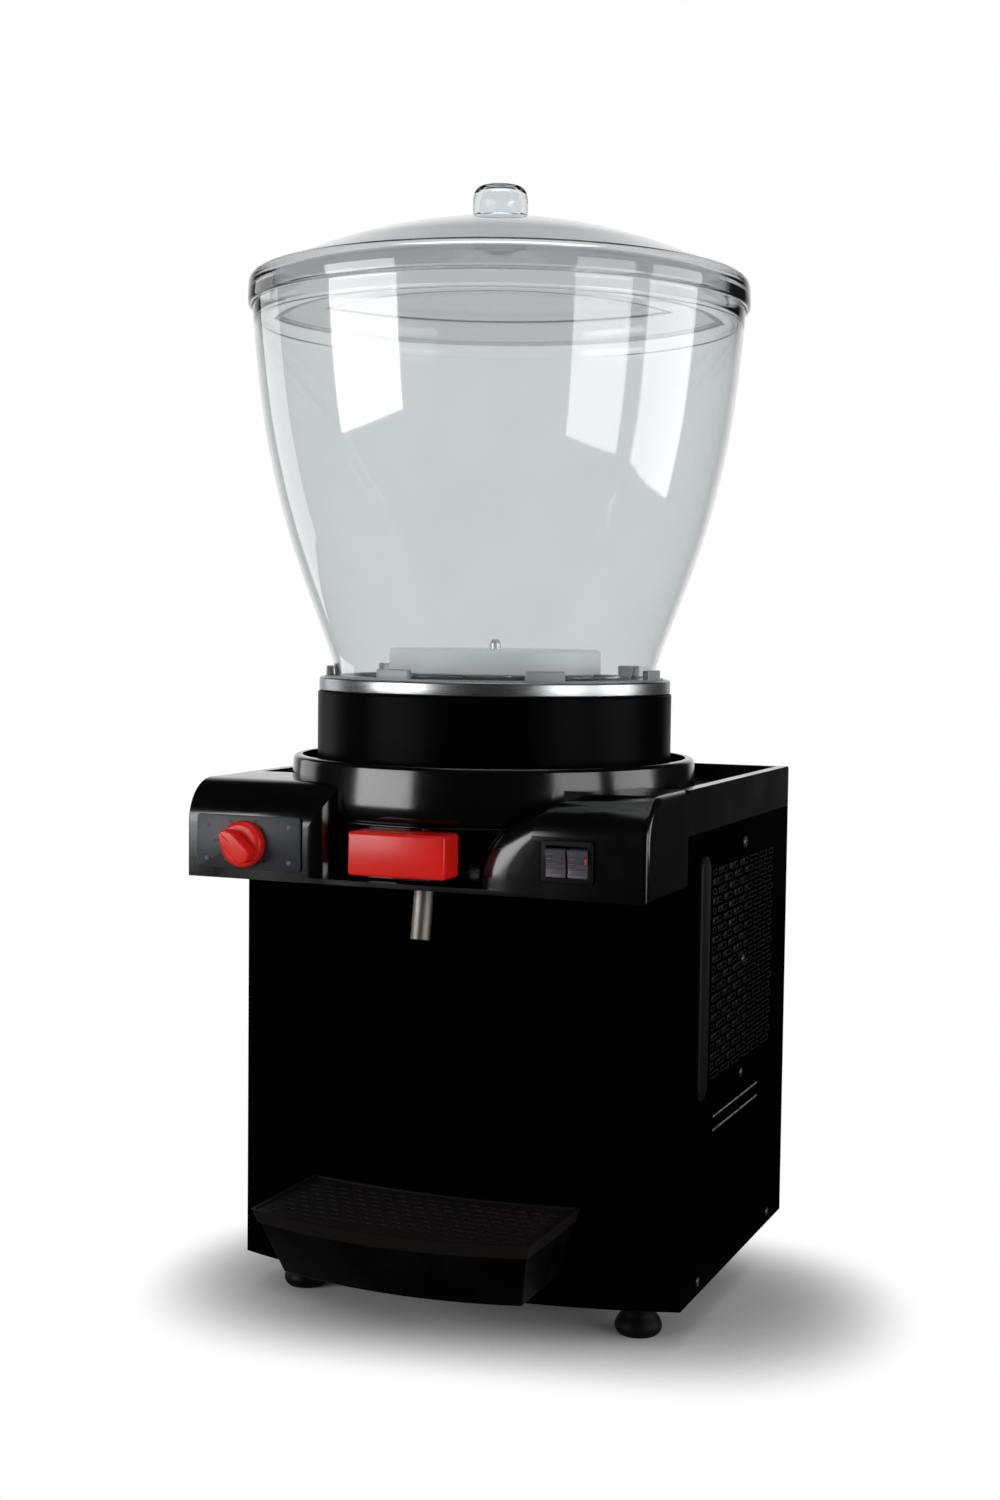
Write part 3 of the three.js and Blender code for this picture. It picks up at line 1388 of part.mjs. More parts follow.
put('compressor_mat', compressorMat(), rubber);
put('compressor_plate', compressorPlate(), zinc);
put('compressor', compressorCan(), satinBlack);
put('condenser', condenserBody(), zinc);
put('fan_shroud', fanShroud(), satinBlack);
put('fan_wheel', fanWheel(), satinBlack);
put('fan_motor', fanMotorBody(), zinc);
put('fan_bracket', fanBracket(), zinc);
put('control_box', controlBoxBody(), darkGrey);
put('discharge_line', dischargeLine(), copper);
put('suction_line', suctionLine(), copper);
put('filter_drier', filterDrier(), copper);
put('power_inlet', powerInlet(), satinBlack);

const group = new THREE.Group();
group.add(machine);

export default group;
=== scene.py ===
import math

import bmesh
import bpy
from mathutils import Matrix, Vector


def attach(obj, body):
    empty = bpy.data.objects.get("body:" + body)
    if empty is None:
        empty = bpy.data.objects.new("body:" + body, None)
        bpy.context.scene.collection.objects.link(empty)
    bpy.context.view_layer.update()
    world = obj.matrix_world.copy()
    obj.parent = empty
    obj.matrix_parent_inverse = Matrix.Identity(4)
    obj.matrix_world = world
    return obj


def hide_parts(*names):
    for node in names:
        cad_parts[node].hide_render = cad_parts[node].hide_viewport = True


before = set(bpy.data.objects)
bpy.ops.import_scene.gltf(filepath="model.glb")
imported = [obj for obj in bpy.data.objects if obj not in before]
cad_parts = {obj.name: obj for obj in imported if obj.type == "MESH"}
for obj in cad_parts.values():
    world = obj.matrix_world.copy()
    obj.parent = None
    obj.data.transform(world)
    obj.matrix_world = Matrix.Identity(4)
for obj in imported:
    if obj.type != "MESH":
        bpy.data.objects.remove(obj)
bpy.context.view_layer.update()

print("frame loaded:", len(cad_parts), "nodes")

# Lengths below are millimetres in the case's own frame: its front corners lie on y = 0,
# its middle on x = 0 and its underside on z = 0. toFrame takes them to the model's frame.
millimetre = 0.001
caseForward, caseLift = 71, 27
toFrame = Matrix.Scale(millimetre, 4) @ Matrix.Translation((0, -caseForward, caseLift))
bowlAxis = 64
fineSteps, softSteps = 128, 4          # steps round a full turn, and over a rounded corner
sides = (("Right", 1), ("Left", -1))
scene = bpy.context.scene


# Modelling helpers

def placeAlong(axis, a, b, height):
    # a and b lie across the axis, height lies on it
    return {"x": (height, a, b), "y": (a, height, b), "z": (a, b, height)}[axis]


def moved(bm, x, y, z):
    bmesh.ops.translate(bm, verts=bm.verts, vec=(x, y, z))
    return bm


def swung(bm, degrees, axis):
    # turned round an axis through the origin
    matrix = Matrix.Rotation(math.radians(degrees), 3, axis)
    bmesh.ops.rotate(bm, verts=bm.verts, cent=(0, 0, 0), matrix=matrix)
    return bm


def laidAlongY(bm, x, z):
    # a turned piece whose heights become places on y
    return moved(swung(bm, -90, "X"), x, 0, z)


def laidAlongX(bm, y, z):
    return moved(swung(bm, 90, "Y"), 0, y, z)


def mirrorX(bm):
    bmesh.ops.scale(bm, verts=bm.verts, vec=(-1, 1, 1))
    bmesh.ops.recalc_face_normals(bm, faces=bm.faces)
    return bm


def onSide(bm, sign):
    # a piece of the right side, mirrored for the left
    return mirrorX(bm) if sign < 0 else bm


def arcLine(centreA, centreB, radius, start, end, steps):
    # points on an arc, angles in degrees
    turns = [math.radians(start + (end - start) * i / steps) for i in range(steps + 1)]
    return [(centreA + radius * math.cos(t), centreB + radius * math.sin(t)) for t in turns]


def sizesOf(table, names):
    return [table[name] for name in names.split()]


def least(edge, axis):
    # the lowest place of an edge's ends on an axis
    return min(getattr(vert.co, axis) for vert in edge.verts)


def span(edge, axis):
    # how far an edge runs along an axis
    first, last = [getattr(vert.co, axis) for vert in edge.verts]
    return abs(first - last)


def roundedPlate(left, right, bottom, top, radius, steps=6):
    return (arcLine(right - radius, bottom + radius, radius, -90, 0, steps)
            + arcLine(right - radius, top - radius, radius, 0, 90, steps)
            + arcLine(left + radius, top - radius, radius, 90, 180, steps)
            + arcLine(left + radius, bottom + radius, radius, 180, 270, steps))


def smoothLine(points, steps):
    # a soft line through given points
    out = []
    for i in range(len(points) - 1):
        before, start = Vector(points[max(i - 1, 0)]), Vector(points[i])
        end, after = Vector(points[i + 1]), Vector(points[min(i + 2, len(points) - 1)])
        for step in range(steps):
            t = step / steps
            bend = (2 * before - 5 * start + 4 * end - after) * t * t
            twist = (3 * start - before - 3 * end + after) * t ** 3
            spot = 0.5 * (2 * start + (end - before) * t + bend + twist)
            out.append((spot.x, spot.y))
    return out + [points[-1]]


def turned(profile, soft=None, closed=False, steps=fineSteps, centre=(0, bowlAxis)):
    # a profile of (radius, height) spun round an upright axis; soft gives {point number: rounding}
    bm = bmesh.new()
    points = [bm.verts.new((radius, 0, height)) for radius, height in profile]
    for pair in zip(points, points[1:] + points[:1] if closed else points[1:]):
        bm.edges.new(pair)
    for number, rounding in (soft or {}).items():
        bmesh.ops.bevel(bm, geom=[points[number]], offset=rounding, offset_type="OFFSET",
                        segments=softSteps, profile=0.5, affect="VERTICES", material=-1)
    bmesh.ops.spin(bm, geom=bm.verts[:] + bm.edges[:], cent=(0, 0, 0), axis=(0, 0, 1),
                   angle=math.tau, steps=steps, use_merge=True)
    bmesh.ops.remove_doubles(bm, verts=bm.verts, dist=0.004)
    bmesh.ops.recalc_face_normals(bm, faces=bm.faces)
    return moved(bm, centre[0], centre[1], 0)


def rod(radius, low, high, soft=None, steps=32, centre=(0, 0)):
    return turned([(0, low), (radius, low), (radius, high), (0, high)], soft, steps=steps, centre=centre)


def tube(inner, outer, low, high, soft, steps=fineSteps, centre=(0, bowlAxis)):
    profile = [(inner, low), (outer, low), (outer, high), (inner, high)]
    return turned(profile, soft, closed=True, steps=steps, centre=centre)


def ringOf(bm, outline, axis, height):
    # a closed loop of edges through an outline
    points = [bm.verts.new(placeAlong(axis, a, b, height)) for a, b in outline]
    return [bm.edges.new(pair) for pair in zip(points, points[1:] + points[:1])]


def drawnOut(bm, axis, length):
    # gives flat faces a thickness along an axis
    grown = bmesh.ops.extrude_face_region(bm, geom=bm.faces[:])["geom"]
    bmesh.ops.translate(bm, verts=[v for v in grown if isinstance(v, bmesh.types.BMVert)],
                        vec=placeAlong(axis, 0, 0, length))
    bmesh.ops.recalc_face_normals(bm, faces=bm.faces)
    return bm


def pulled(outline, low, high, axis="z"):
    # an outline pulled from one place to another along an axis
    bm = bmesh.new()
    bm.faces.new([bm.verts.new(placeAlong(axis, a, b, low)) for a, b in outline])
    return drawnOut(bm, axis, high - low)


def pierced(outer, holes, low, high, axis="z"):
    # a flat sheet with many holes in it
    bm = bmesh.new()
    edges = []
    for outline in [outer] + holes:
        edges += ringOf(bm, outline, axis, low)
    bmesh.ops.triangle_fill(bm, edges=edges, use_beauty=True)
    return drawnOut(bm, axis, high - low)


def lofted(layers, axis="z"):
    # (height, outline) layers with equal numbers of points, each bridged to the next and capped
    bm = bmesh.new()
    loops = [ringOf(bm, outline, axis, height) for height, outline in layers]
    for near, far in zip(loops, loops[1:]):
        bmesh.ops.bridge_loops(bm, edges=near + far)
    for loop in (loops[0], loops[-1]):
        bmesh.ops.holes_fill(bm, edges=loop, sides=0)
    bmesh.ops.recalc_face_normals(bm, faces=bm.faces)
    return bm


def block(low, high):
    bm = bmesh.new()
    bmesh.ops.create_cube(bm, size=1)
    bmesh.ops.scale(bm, verts=bm.verts, vec=[b - a for a, b in zip(low, high)])
    return moved(bm, *[(a + b) / 2 for a, b in zip(low, high)])


def soften(bm, rounding, segments=2, sharper=40, where=None):
    # rounds the edges that are sharper than an angle
    limit = math.radians(sharper)
    edges = [e for e in bm.edges if e.is_manifold and e.calc_face_angle(0) > limit
             and (not where or where(e))]
    bmesh.ops.bevel(bm, geom=edges, offset=rounding, offset_type="OFFSET", segments=segments,
                    profile=0.5, affect="EDGES", clamp_overlap=True, material=-1)
    return bm


def asObject(name, bm):
    mesh = bpy.data.meshes.new(name)
    bm.to_mesh(mesh)
    bm.free()
    piece = bpy.data.objects.new(name, mesh)
    scene.collection.objects.link(piece)
    return piece


def carve(bm, *tools):
    # tools are (operation, bmesh) pairs, applied one after the other
    body = asObject("work", bm)
    helpers = []
    for operation, tool in tools:
        helpers.append(asObject("tool", tool))
        modifier = body.modifiers.new("cut", "BOOLEAN")
        modifier.operation = operation
        modifier.object = helpers[-1]
        modifier.solver = "EXACT"
    done = bpy.data.meshes.new_from_object(body.evaluated_get(bpy.context.evaluated_depsgraph_get()))
    result = bmesh.new()
    result.from_mesh(done)
    for item in [body] + helpers:
        bpy.data.objects.remove(item)
    return result


def less(*tools):
    # tools to be cut away
    return [("DIFFERENCE", tool) for tool in tools]


def plus(*tools):
    # tools to be joined on
    return [("UNION", tool) for tool in tools]


def addPiece(name, bm, body, finish, node=None, crease=34):
    # puts a finished piece in the model's frame, on its body and in place of its CAD node
    bmesh.ops.transform(bm, matrix=toFrame, verts=bm.verts)
    limit = math.radians(crease)
    for face in bm.faces:
        face.smooth = True
    for edge in bm.edges:
        edge.smooth = not edge.is_manifold or edge.calc_face_angle(0) < limit
    piece = asObject(name, bm)
    piece.data.materials.append(finish)
    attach(piece, body)
    if node:
        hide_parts(node)
    return piece


# Shading helpers

def colour(red, green, blue):
    # screen values from 0 to 255, made linear
    def linear(value):
        share = value / 255
        return share / 12.92 if share <= 0.04045 else ((share + 0.055) / 1.055) ** 2.4
    return (linear(red), linear(green), linear(blue), 1)


def tint(shade, share, lift=0):
    # a colour made lighter or darker
    return tuple(min(1, channel * share + lift) for channel in shade[:3]) + (1,)


def operator(operation, reflected=False):
    # a Math node between a socket and a number or another socket
    def act(self, other):
        first, second = (other, self) if reflected else (self, other)
        return self.net.node("ShaderNodeMath", {"operation": operation}, {0: first, 1: second})
    return act


class Socket:
    # a node's output that can be used in sums
    def __init__(self, net, node, output=0):
        self.net = net
        self.node = node
        self.out = node.outputs[output] if node.outputs else None

    __add__, __radd__ = operator("ADD"), operator("ADD", reflected=True)
    __sub__, __rsub__ = operator("SUBTRACT"), operator("SUBTRACT", reflected=True)
    __mul__, __rmul__ = operator("MULTIPLY"), operator("MULTIPLY", reflected=True)
    __lt__, __gt__ = operator("LESS_THAN"), operator("GREATER_THAN")
    most = operator("MAXIMUM")

    def pick(self, output):
        return Socket(self.net, self.node, output)

    def size(self):
        return self.net.node("ShaderNodeMath", {"operation": "ABSOLUTE"}, {0: self})

    def held(self):
        # kept between 0 and 1
        return self.net.node("ShaderNodeMath", {"operation": "ADD", "use_clamp": True}, {0: self, 1: 0})


class Net:
    # the nodes of one material, or of the world
    def __init__(self, owner):
        owner.use_nodes = True
        self.tree = owner.node_tree
        self.tree.nodes.clear()

    def fill(self, socket, value):
        if isinstance(value, Socket):
            self.tree.links.new(value.out, socket)
        else:
            socket.default_value = value

    def node(self, kind, settings=None, values=None):
        node = self.tree.nodes.new(kind)
        for key, setting in (settings or {}).items():
            setattr(node, key, setting)
        for key, value in (values or {}).items():
            self.fill(node.inputs[key], value)
        return Socket(self, node)

    def vectors(self, operation, *values):
        return self.node("ShaderNodeVectorMath", {"operation": operation}, dict(enumerate(values)))

    def rays(self):
        # masks of what is seen directly or through clear pieces, and of what is mirrored
        path = self.node("ShaderNodeLightPath")
        direct = path.pick("Is Camera Ray").most(path.pick("Is Transmission Ray"))
        return direct, path.pick("Is Glossy Ray")

    def place(self):
        return self.node("ShaderNodeTexCoord").pick("Object")

    def noise(self, scale, detail=2, roughness=0.5, stretch=(1, 1, 1)):
        # a noise whose features are a given number to the metre
        spot = self.node("ShaderNodeMapping", None, {"Vector": self.place(), "Scale": stretch})
        values = {"Vector": spot, "Scale": scale, "Detail": detail, "Roughness": roughness}
        return self.node("ShaderNodeTexNoise", None, values).pick("Fac")

    def spread(self, value, low, high, fromLow=0.3, fromHigh=0.7):
        return self.node("ShaderNodeMapRange", {"clamp": True}, {
            "Value": value, "From Min": fromLow, "From Max": fromHigh, "To Min": low, "To Max": high})

    def blendColour(self, factor, first, second):
        node = self.tree.nodes.new("ShaderNodeMix")
        node.data_type = "RGBA"
        for name, value in (("Factor_Float", factor), ("A_Color", first), ("B_Color", second)):
            self.fill(next(s for s in node.inputs if s.identifier == name), value)
        output = next(i for i, s in enumerate(node.outputs) if s.identifier == "Result_Color")
        return Socket(self, node, output)

    def bump(self, height, strength, distance, **under):
        # under may give a Normal that this bump lies on
        values = {"Height": height, "Strength": strength, "Distance": distance}
        return self.node("ShaderNodeBump", None, {**values, **under})


class Finish(Net):
    # one material with a Principled shader
    def __init__(self, name, **constants):
        self.material = bpy.data.materials.new(name)
        super().__init__(self.material)
        self.shader = self.node("ShaderNodeBsdfPrincipled", None,
                                {key.replace("_", " "): value for key, value in constants.items()})
        self.node("ShaderNodeOutputMaterial", None, {"Surface": self.shader})

    def feed(self, **values):
        for key, value in values.items():
            self.fill(self.shader.node.inputs[key.replace("_", " ")], value)
        return self.material


def mouldedPlastic(name, shade, roughness, specular, grain=900, grainDepth=0.00002, smudge=0.08):
    # injection-moulded plastic: a very fine grain, faint flow marks and fingerprints in the gloss
    finish = Finish(name, Specular_IOR_Level=specular)
    flow = finish.noise(9, detail=3, stretch=(1, 1, 2.5))
    handling = finish.noise(26, detail=5, roughness=0.62)
    grainHeight = finish.noise(grain, detail=2)
    dust = finish.spread(finish.noise(2600, detail=0), 0, 1, 0.78, 0.86)
    base = finish.blendColour(finish.spread(flow, 0, 1), shade, tint(shade, 1.35, 0.0006))
    base = finish.blendColour(dust * 0.3, base, tint(shade, 1.1, 0.008))
    gloss = finish.spread(handling, roughness - smudge / 2, roughness + smudge, 0.35, 0.7) + dust * 0.04
    return finish.feed(Base_Color=base, Roughness=gloss.held(),
                       Normal=finish.bump(grainHeight, 0.35, grainDepth))


# two plain lines on the right side, in metres: middle and half of their length, heights, half a thickness
lines = {"middle": 0.063, "reach": 0.061, "heights": (0.148, 0.138), "half": 0.0008}


def paintedSteel(name, shade, roughness, specular, printedLines=False):
    # powder-coated sheet: an orange-peel skin over slow waves, and fine scuffs
    finish = Finish(name, Specular_IOR_Level=specular)
    peel = finish.noise(620, detail=3, roughness=0.6)
    waves = finish.noise(7, detail=1)
    scuffs = finish.spread(finish.noise(90, detail=6, roughness=0.7, stretch=(1, 1, 9)), 0, 1, 0.62, 0.8)
    base = finish.blendColour(scuffs * 0.55, shade, tint(shade, 1.3, 0.0015))
    if printedLines:
        where = finish.node("ShaderNodeSeparateXYZ", None, {"Vector": finish.place()})
        inLength = (where.pick("Y") - lines["middle"]).size() < lines["reach"]
        upper, lower = [(where.pick("Z") - height).size() < lines["half"] for height in lines["heights"]]
        dashes = finish.spread(finish.noise(260, detail=2, stretch=(0.01, 1, 0.01)), 0.25, 1, 0.4, 0.52)
        base = finish.blendColour((upper + lower) * inLength * dashes * 0.6, base, colour(120, 122, 124))
    rough = finish.spread(waves, roughness - 0.04, roughness + 0.05) + scuffs * 0.12
    return finish.feed(Base_Color=base, Roughness=rough.held(),
                       Normal=finish.bump(waves, 0.2, 0.0004, Normal=finish.bump(peel, 0.3, 0.00004)))


def brushedMetal(name, shade, roughness, stretch, scale):
    # drawn or turned metal: fine lines one way, with duller patches
    finish = Finish(name, Metallic=1.0)
    strokes = finish.noise(scale, detail=6, roughness=0.75, stretch=stretch)
    patches = finish.noise(18, detail=3)
    base = finish.blendColour(finish.spread(strokes, 0, 0.8), shade, tint(shade, 0.72))
    rough = finish.spread(strokes, roughness - 0.06, roughness + 0.1) + finish.spread(patches, 0, 0.06)
    return finish.feed(Base_Color=base, Roughness=rough.held(), Normal=finish.bump(strokes, 0.25, 0.00003))


def castMetal(name, shade, roughness, metallic=1.0, speck=400):
    # zinc plate, copper tube or an enamelled can, speckled and a little dull
    finish = Finish(name, Metallic=metallic)
    speckle = finish.noise(speck, detail=4, roughness=0.6)
    stain = finish.noise(30, detail=4)
    base = finish.blendColour(finish.spread(stain, 0, 0.7), shade, tint(shade, 0.6))
    rough = finish.spread(speckle, roughness - 0.05, roughness + 0.12)
    return finish.feed(Base_Color=base, Roughness=rough.held(), Normal=finish.bump(speckle, 0.3, 0.00005))


def clearMoulding(name, shade, roughness, haze, specular=0.5):
    # clear polycarbonate with a breath of haze and hairline scratches
    finish = Finish(name, Transmission_Weight=1.0, IOR=1.49, Specular_IOR_Level=specular)
    cloud = finish.noise(14, detail=3)
    hairlines = finish.noise(220, detail=4, roughness=0.7, stretch=(1, 1, 0.06))
    base = finish.blendColour(finish.spread(cloud, 0, 1), shade, tint(shade, haze))
    rough = finish.spread(hairlines, roughness, roughness + 0.03, 0.5, 0.75)
    return finish.feed(Base_Color=base, Roughness=rough.held(), Normal=finish.bump(hairlines, 0.05, 0.00001))


glossBlack = mouldedPlastic("collar black", colour(1, 1, 2), 0.34, 0.016, smudge=0.06)
coverBlack = mouldedPlastic("moulded cover black", colour(2, 2, 3), 0.15, 0.5, smudge=0.05)
satinBlack = mouldedPlastic("satin black plastic", colour(8, 7, 8), 0.42, 0.14, grain=500,
                            grainDepth=0.00004)
grilleBlack = mouldedPlastic("grille black", colour(22, 19, 20), 0.42, 0.2, grain=420, grainDepth=0.00005)
panelBlack = paintedSteel("powder coat black", colour(1, 1, 2), 0.5, 0.003)
sideBlack = paintedSteel("powder coat black, printed side", colour(1, 1, 2), 0.5, 0.002, printedLines=True)
# the slot rims' grey is a painted highlight along the slot edges
rimHighlightPaint = paintedSteel("slot rim painted highlight", colour(36, 36, 39), 0.45, 0.1)
innerSteel = paintedSteel("base pan paint", colour(16, 16, 17), 0.5, 0.3)
plateGrey = mouldedPlastic("dial plate grey", colour(36, 39, 43), 0.4, 0.3, grain=700, grainDepth=0.00005)
keyGrey = mouldedPlastic("switch key grey", colour(62, 59, 68), 0.38, 0.4, grain=800, grainDepth=0.00005)
knobRed = mouldedPlastic("knob red", colour(188, 24, 15), 0.28, 0.3, smudge=0.06)
paddleRed = mouldedPlastic("paddle red", colour(186, 24, 17), 0.22, 0.3, smudge=0.04)
footBlack = mouldedPlastic("foot black", colour(3, 3, 3), 0.5, 0.1, grain=1100, grainDepth=0.00003)
markRed = mouldedPlastic("mark red", colour(170, 26, 34), 0.4, 0.4)
markGrey = mouldedPlastic("mark grey", colour(84, 88, 92), 0.45, 0.4)
markDark = mouldedPlastic("mark dark", colour(12, 15, 26), 0.45, 0.4)
spoutSteel = brushedMetal("spout steel", colour(140, 135, 130), 0.46, stretch=(1, 1, 0.08), scale=700)
plateSteel = brushedMetal("cooling plate steel", colour(196, 198, 198), 0.28, stretch=(1, 30, 1), scale=60)
silver = brushedMetal("silver ring", colour(176, 178, 180), 0.26, stretch=(1, 1, 30), scale=70)
zincPlate = castMetal("zinc plate", colour(168, 172, 176), 0.4)
copperTube = castMetal("copper tube", colour(188, 106, 72), 0.3, speck=260)
finMetal = brushedMetal("fin aluminium", colour(178, 182, 186), 0.36, stretch=(1, 40, 1), scale=90)
canEnamel = castMetal("compressor enamel", colour(14, 14, 15), 0.34, metallic=0.0, speck=300)
blackRubber = mouldedPlastic("black rubber", colour(14, 14, 14), 0.72, 0.3, grain=1400, grainDepth=0.00003)
bowlClear = clearMoulding("clear bowl", colour(230, 233, 233), 0.03, 0.97, 1.0)
lidClear = clearMoulding("clear lid", colour(204, 206, 208), 0.05, 0.95)
knobClear = clearMoulding("clear lid knob", colour(233, 236, 238), 0.05, 0.95, 1.0)
ringGrey = mouldedPlastic("locking ring grey", colour(122, 125, 126), 0.35, 0.4)
wheelWhite = mouldedPlastic("wheel white", colour(242, 244, 243), 0.35, 0.45)
magnetGrey = castMetal("ferrite magnet", colour(58, 58, 60), 0.5, metallic=0.3, speck=900)
sealWhite = mouldedPlastic("silicone seal", colour(212, 214, 212), 0.5, 0.35)
print("finishes made:", len(bpy.data.materials))


# Steel case

case = {"half": 170, "depth": 275, "bow": 30, "height": 330, "sheet": 1.5, "fold": 0.7, "lip": 1.6}


def bowRadius(half, bow):
    # the radius of an arc that bows out so far over half a width
    return (half ** 2 + bow ** 2) / (2 * bow)


def bowLine(inset, half, steps=56):
    # the bowed front, moved in by an inset, between two distances from the middle
    radius = bowRadius(case["half"], case["bow"])
    across = [-half + 2 * half * i / steps for i in range(steps + 1)]
    return [(x, radius - case["bow"] - math.sqrt((radius - inset) ** 2 - x * x)) for x in across]


def frontSheet():
    half, lip = case["half"], case["lip"]
    edge = half - case["sheet"]
    outline = ([(-half, lip)] + bowLine(0, half) + [(half, lip), (edge, lip)]
               + bowLine(case["sheet"], edge)[::-1] + [(-edge, lip)])
    return soften(pulled(outline, 0, case["height"]), case["fold"], 3, sharper=50)


addPiece("frontPanelSheet", frontSheet(), "root", panelBlack, "front_panel")

louvres = {"rows": 22, "bottom": 152, "pitch": 7, "front": 63, "back": 228, "slot": 21, "gap": 7,
           "height": 3.2, "clip": 1.1, "shortest": 5.12,
           "rimProud": 0.35, "rimWidth": 0.45, "rimClear": 0.02}
sidePlate = {"front": 1.9, "back": 273.2}


def slotOutline(start, end, middle, height, clip):
    # a slot with clipped corners
    half = height / 2
    return [(start, middle - half + clip), (start + clip, middle - half), (end - clip, middle - half),
            (end, middle - half + clip), (end, middle + half - clip), (end - clip, middle + half),
            (start + clip, middle + half), (start, middle + half - clip)]


def louvreSlots():
    slots = []
    step = louvres["slot"] + louvres["gap"]
    for row in range(louvres["rows"]):
        middle = louvres["bottom"] + louvres["pitch"] * row
        start = louvres["front"] - (step / 2 if row % 2 else 0)
        while start < louvres["back"]:
            near, far = max(start, louvres["front"]), min(start + louvres["slot"], louvres["back"])
            if far - near > louvres["shortest"]:
                slots.append(slotOutline(near, far, middle, louvres["height"], louvres["clip"]))
            start += step
    return slots


def sidePanel():
    front, back, top = sidePlate["front"], sidePlate["back"], case["height"]
    outline = [(front, 0), (back, 0), (back, top), (front, top)]
    return pierced(outline, louvreSlots(), case["half"] - case["sheet"], case["half"], "x")


def slotRimHighlights():
    # a low pressed rim round each slot, painted lighter than the panel as a painted highlight along the slot
    # edges
    bm = bmesh.new()
    for slot in louvreSlots():
        middle = [(min(places) + max(places)) / 2 for places in zip(*slot)]
        outer = [[place + math.copysign(louvres["rimWidth"], place - centre)
                  for place, centre in zip(point, middle)] for point in slot]
        rings = [ringOf(bm, outline, "x", case["half"] + louvres["rimClear"]) for outline in (slot, outer)]
        bmesh.ops.bridge_loops(bm, edges=rings[0] + rings[1])
    return drawnOut(bm, "x", louvres["rimProud"])


for side, sign in sides:
    finish = sideBlack if sign > 0 else panelBlack
    addPiece("sidePanel" + side, onSide(sidePanel(), sign), "root", finish,
             "side_panel_" + side.lower())
# pale rims on both panels: painted highlight on the slot edges
for side, sign in sides:
    addPiece("slotRimHighlights" + side, onSide(slotRimHighlights(), sign), "root", rimHighlightPaint)

strips = {"front": 27, "width": 22, "bottom": 140, "height": 173, "clear": 0.3, "proud": 2.5, "crown": 1.9}


def gripStrip():
    end = strips["width"] / 2
    middle, base = strips["front"] + end, case["half"] + strips["clear"]
    outline = (arcLine(middle, strips["bottom"] + end, end, 180, 360, 20)
               + arcLine(middle, strips["bottom"] + strips["height"] - end, end, 0, 180, 20))
    strip = pulled(outline, base, base + strips["proud"], "x")
    return soften(strip, strips["crown"], 5, where=lambda e: least(e, "x") > base + 1)


for side, sign in sides:
    addPiece("gripStrip" + side, onSide(gripStrip(), sign), "root", satinBlack,
             "grip_strip_" + side.lower())

screws = {"head": 4.5, "rise": 2, "shank": 2, "length": 7, "seat": 0.3, "cross": 1.0, "reach": 2.4,
          "small": 0.75, "place": (145, 313), "smallPlaces": [(145, 225), (145, 139), (231, 9), (40, 10)]}


def crossHeadScrew(place, sign, scale=1.0):
    # a domed head with a cross recess, lying on a side panel
    head, top, seat = screws["head"] * scale, screws["rise"] * scale, screws["seat"]
    bm = turned([(0, -screws["length"]), (screws["shank"], -screws["length"]), (screws["shank"], seat),
                 (head, seat), (head * 0.93, top * 0.55), (head * 0.6, top * 0.98), (0, top + seat)],
                {4: 0.6, 5: 0.8}, steps=32, centre=(0, 0))
    half, reach = screws["cross"] / 2 * scale, screws["reach"] * scale
    floor, above = top * 0.45, screws["head"]
    bm = carve(bm, *less(block((-half, -reach, floor), (half, reach, above)),
                         block((-reach, -half, floor), (reach, half, above))))
    return onSide(moved(swung(moved(bm, 0, 0, case["half"]), 90, "Y"), 0, *place), sign)


screwSteel = castMetal("blackened screw", colour(70, 72, 74), 0.35, metallic=0.8)
for side, sign in sides:
    addPiece("panelScrew" + side, crossHeadScrew(screws["place"], sign), "root", screwSteel,
             "panel_screw_" + side.lower())
    for number, place in enumerate(screws["smallPlaces"]):
        addPiece("smallScrew%s%d" % (side, number + 1), crossHeadScrew(place, sign, screws["small"]),
                 "root", screwSteel)

feet = {"x": 132, "front": 24.5, "back": 250.5, "soft": {1: 1, 2: 2.6, 3: 3.4, 4: 1.4, 6: 0.6, 8: 0.8},
        "line": [(0, -27), (14, -27), (16.9, -24), (16.9, -18.5), (12.6, -12.6), (12.2, -10), (12.2, -0.3),
                 (5, -0.3), (5, 16), (0, 16)]}
for end in ("front", "back"):
    for side, sign in (("left", -1), ("right", 1)):
        foot = turned(feet["line"], feet["soft"], steps=64, centre=(sign * feet["x"], feet[end]))
        addPiece("foot" + end.capitalize() + side.capitalize(), foot, "foot_" + end[0] + side[0], footBlack,
                 "foot_%s_%s" % (end, side))
print("case done")


# Moulded top cover: band, fascia with two pods, the bay between them and the round drum

cover = {"top": 362, "deck": 350, "bandBottom": 330.3, "podBottom": 294, "reach": 87.5, "shoulder": 30,
         "rim": 8, "deckFront": 6, "wall": 3, "edgeLeft": 1.6, "edgeRight": 4.5, "edgeBack": 3,
         "bayBack": -48, "bayFloor": 299, "floorDip": 1.5, "bayLeft": -61, "bayTop": 392, "flank": 14,
         "flankLeft": 15, "roomFloor": 297, "roomTop": 347, "roomFront": -45, "above": 400,
         "windowHalf": 14.3, "windowFront": -50, "windowBack": -42, "windowTop": 338}
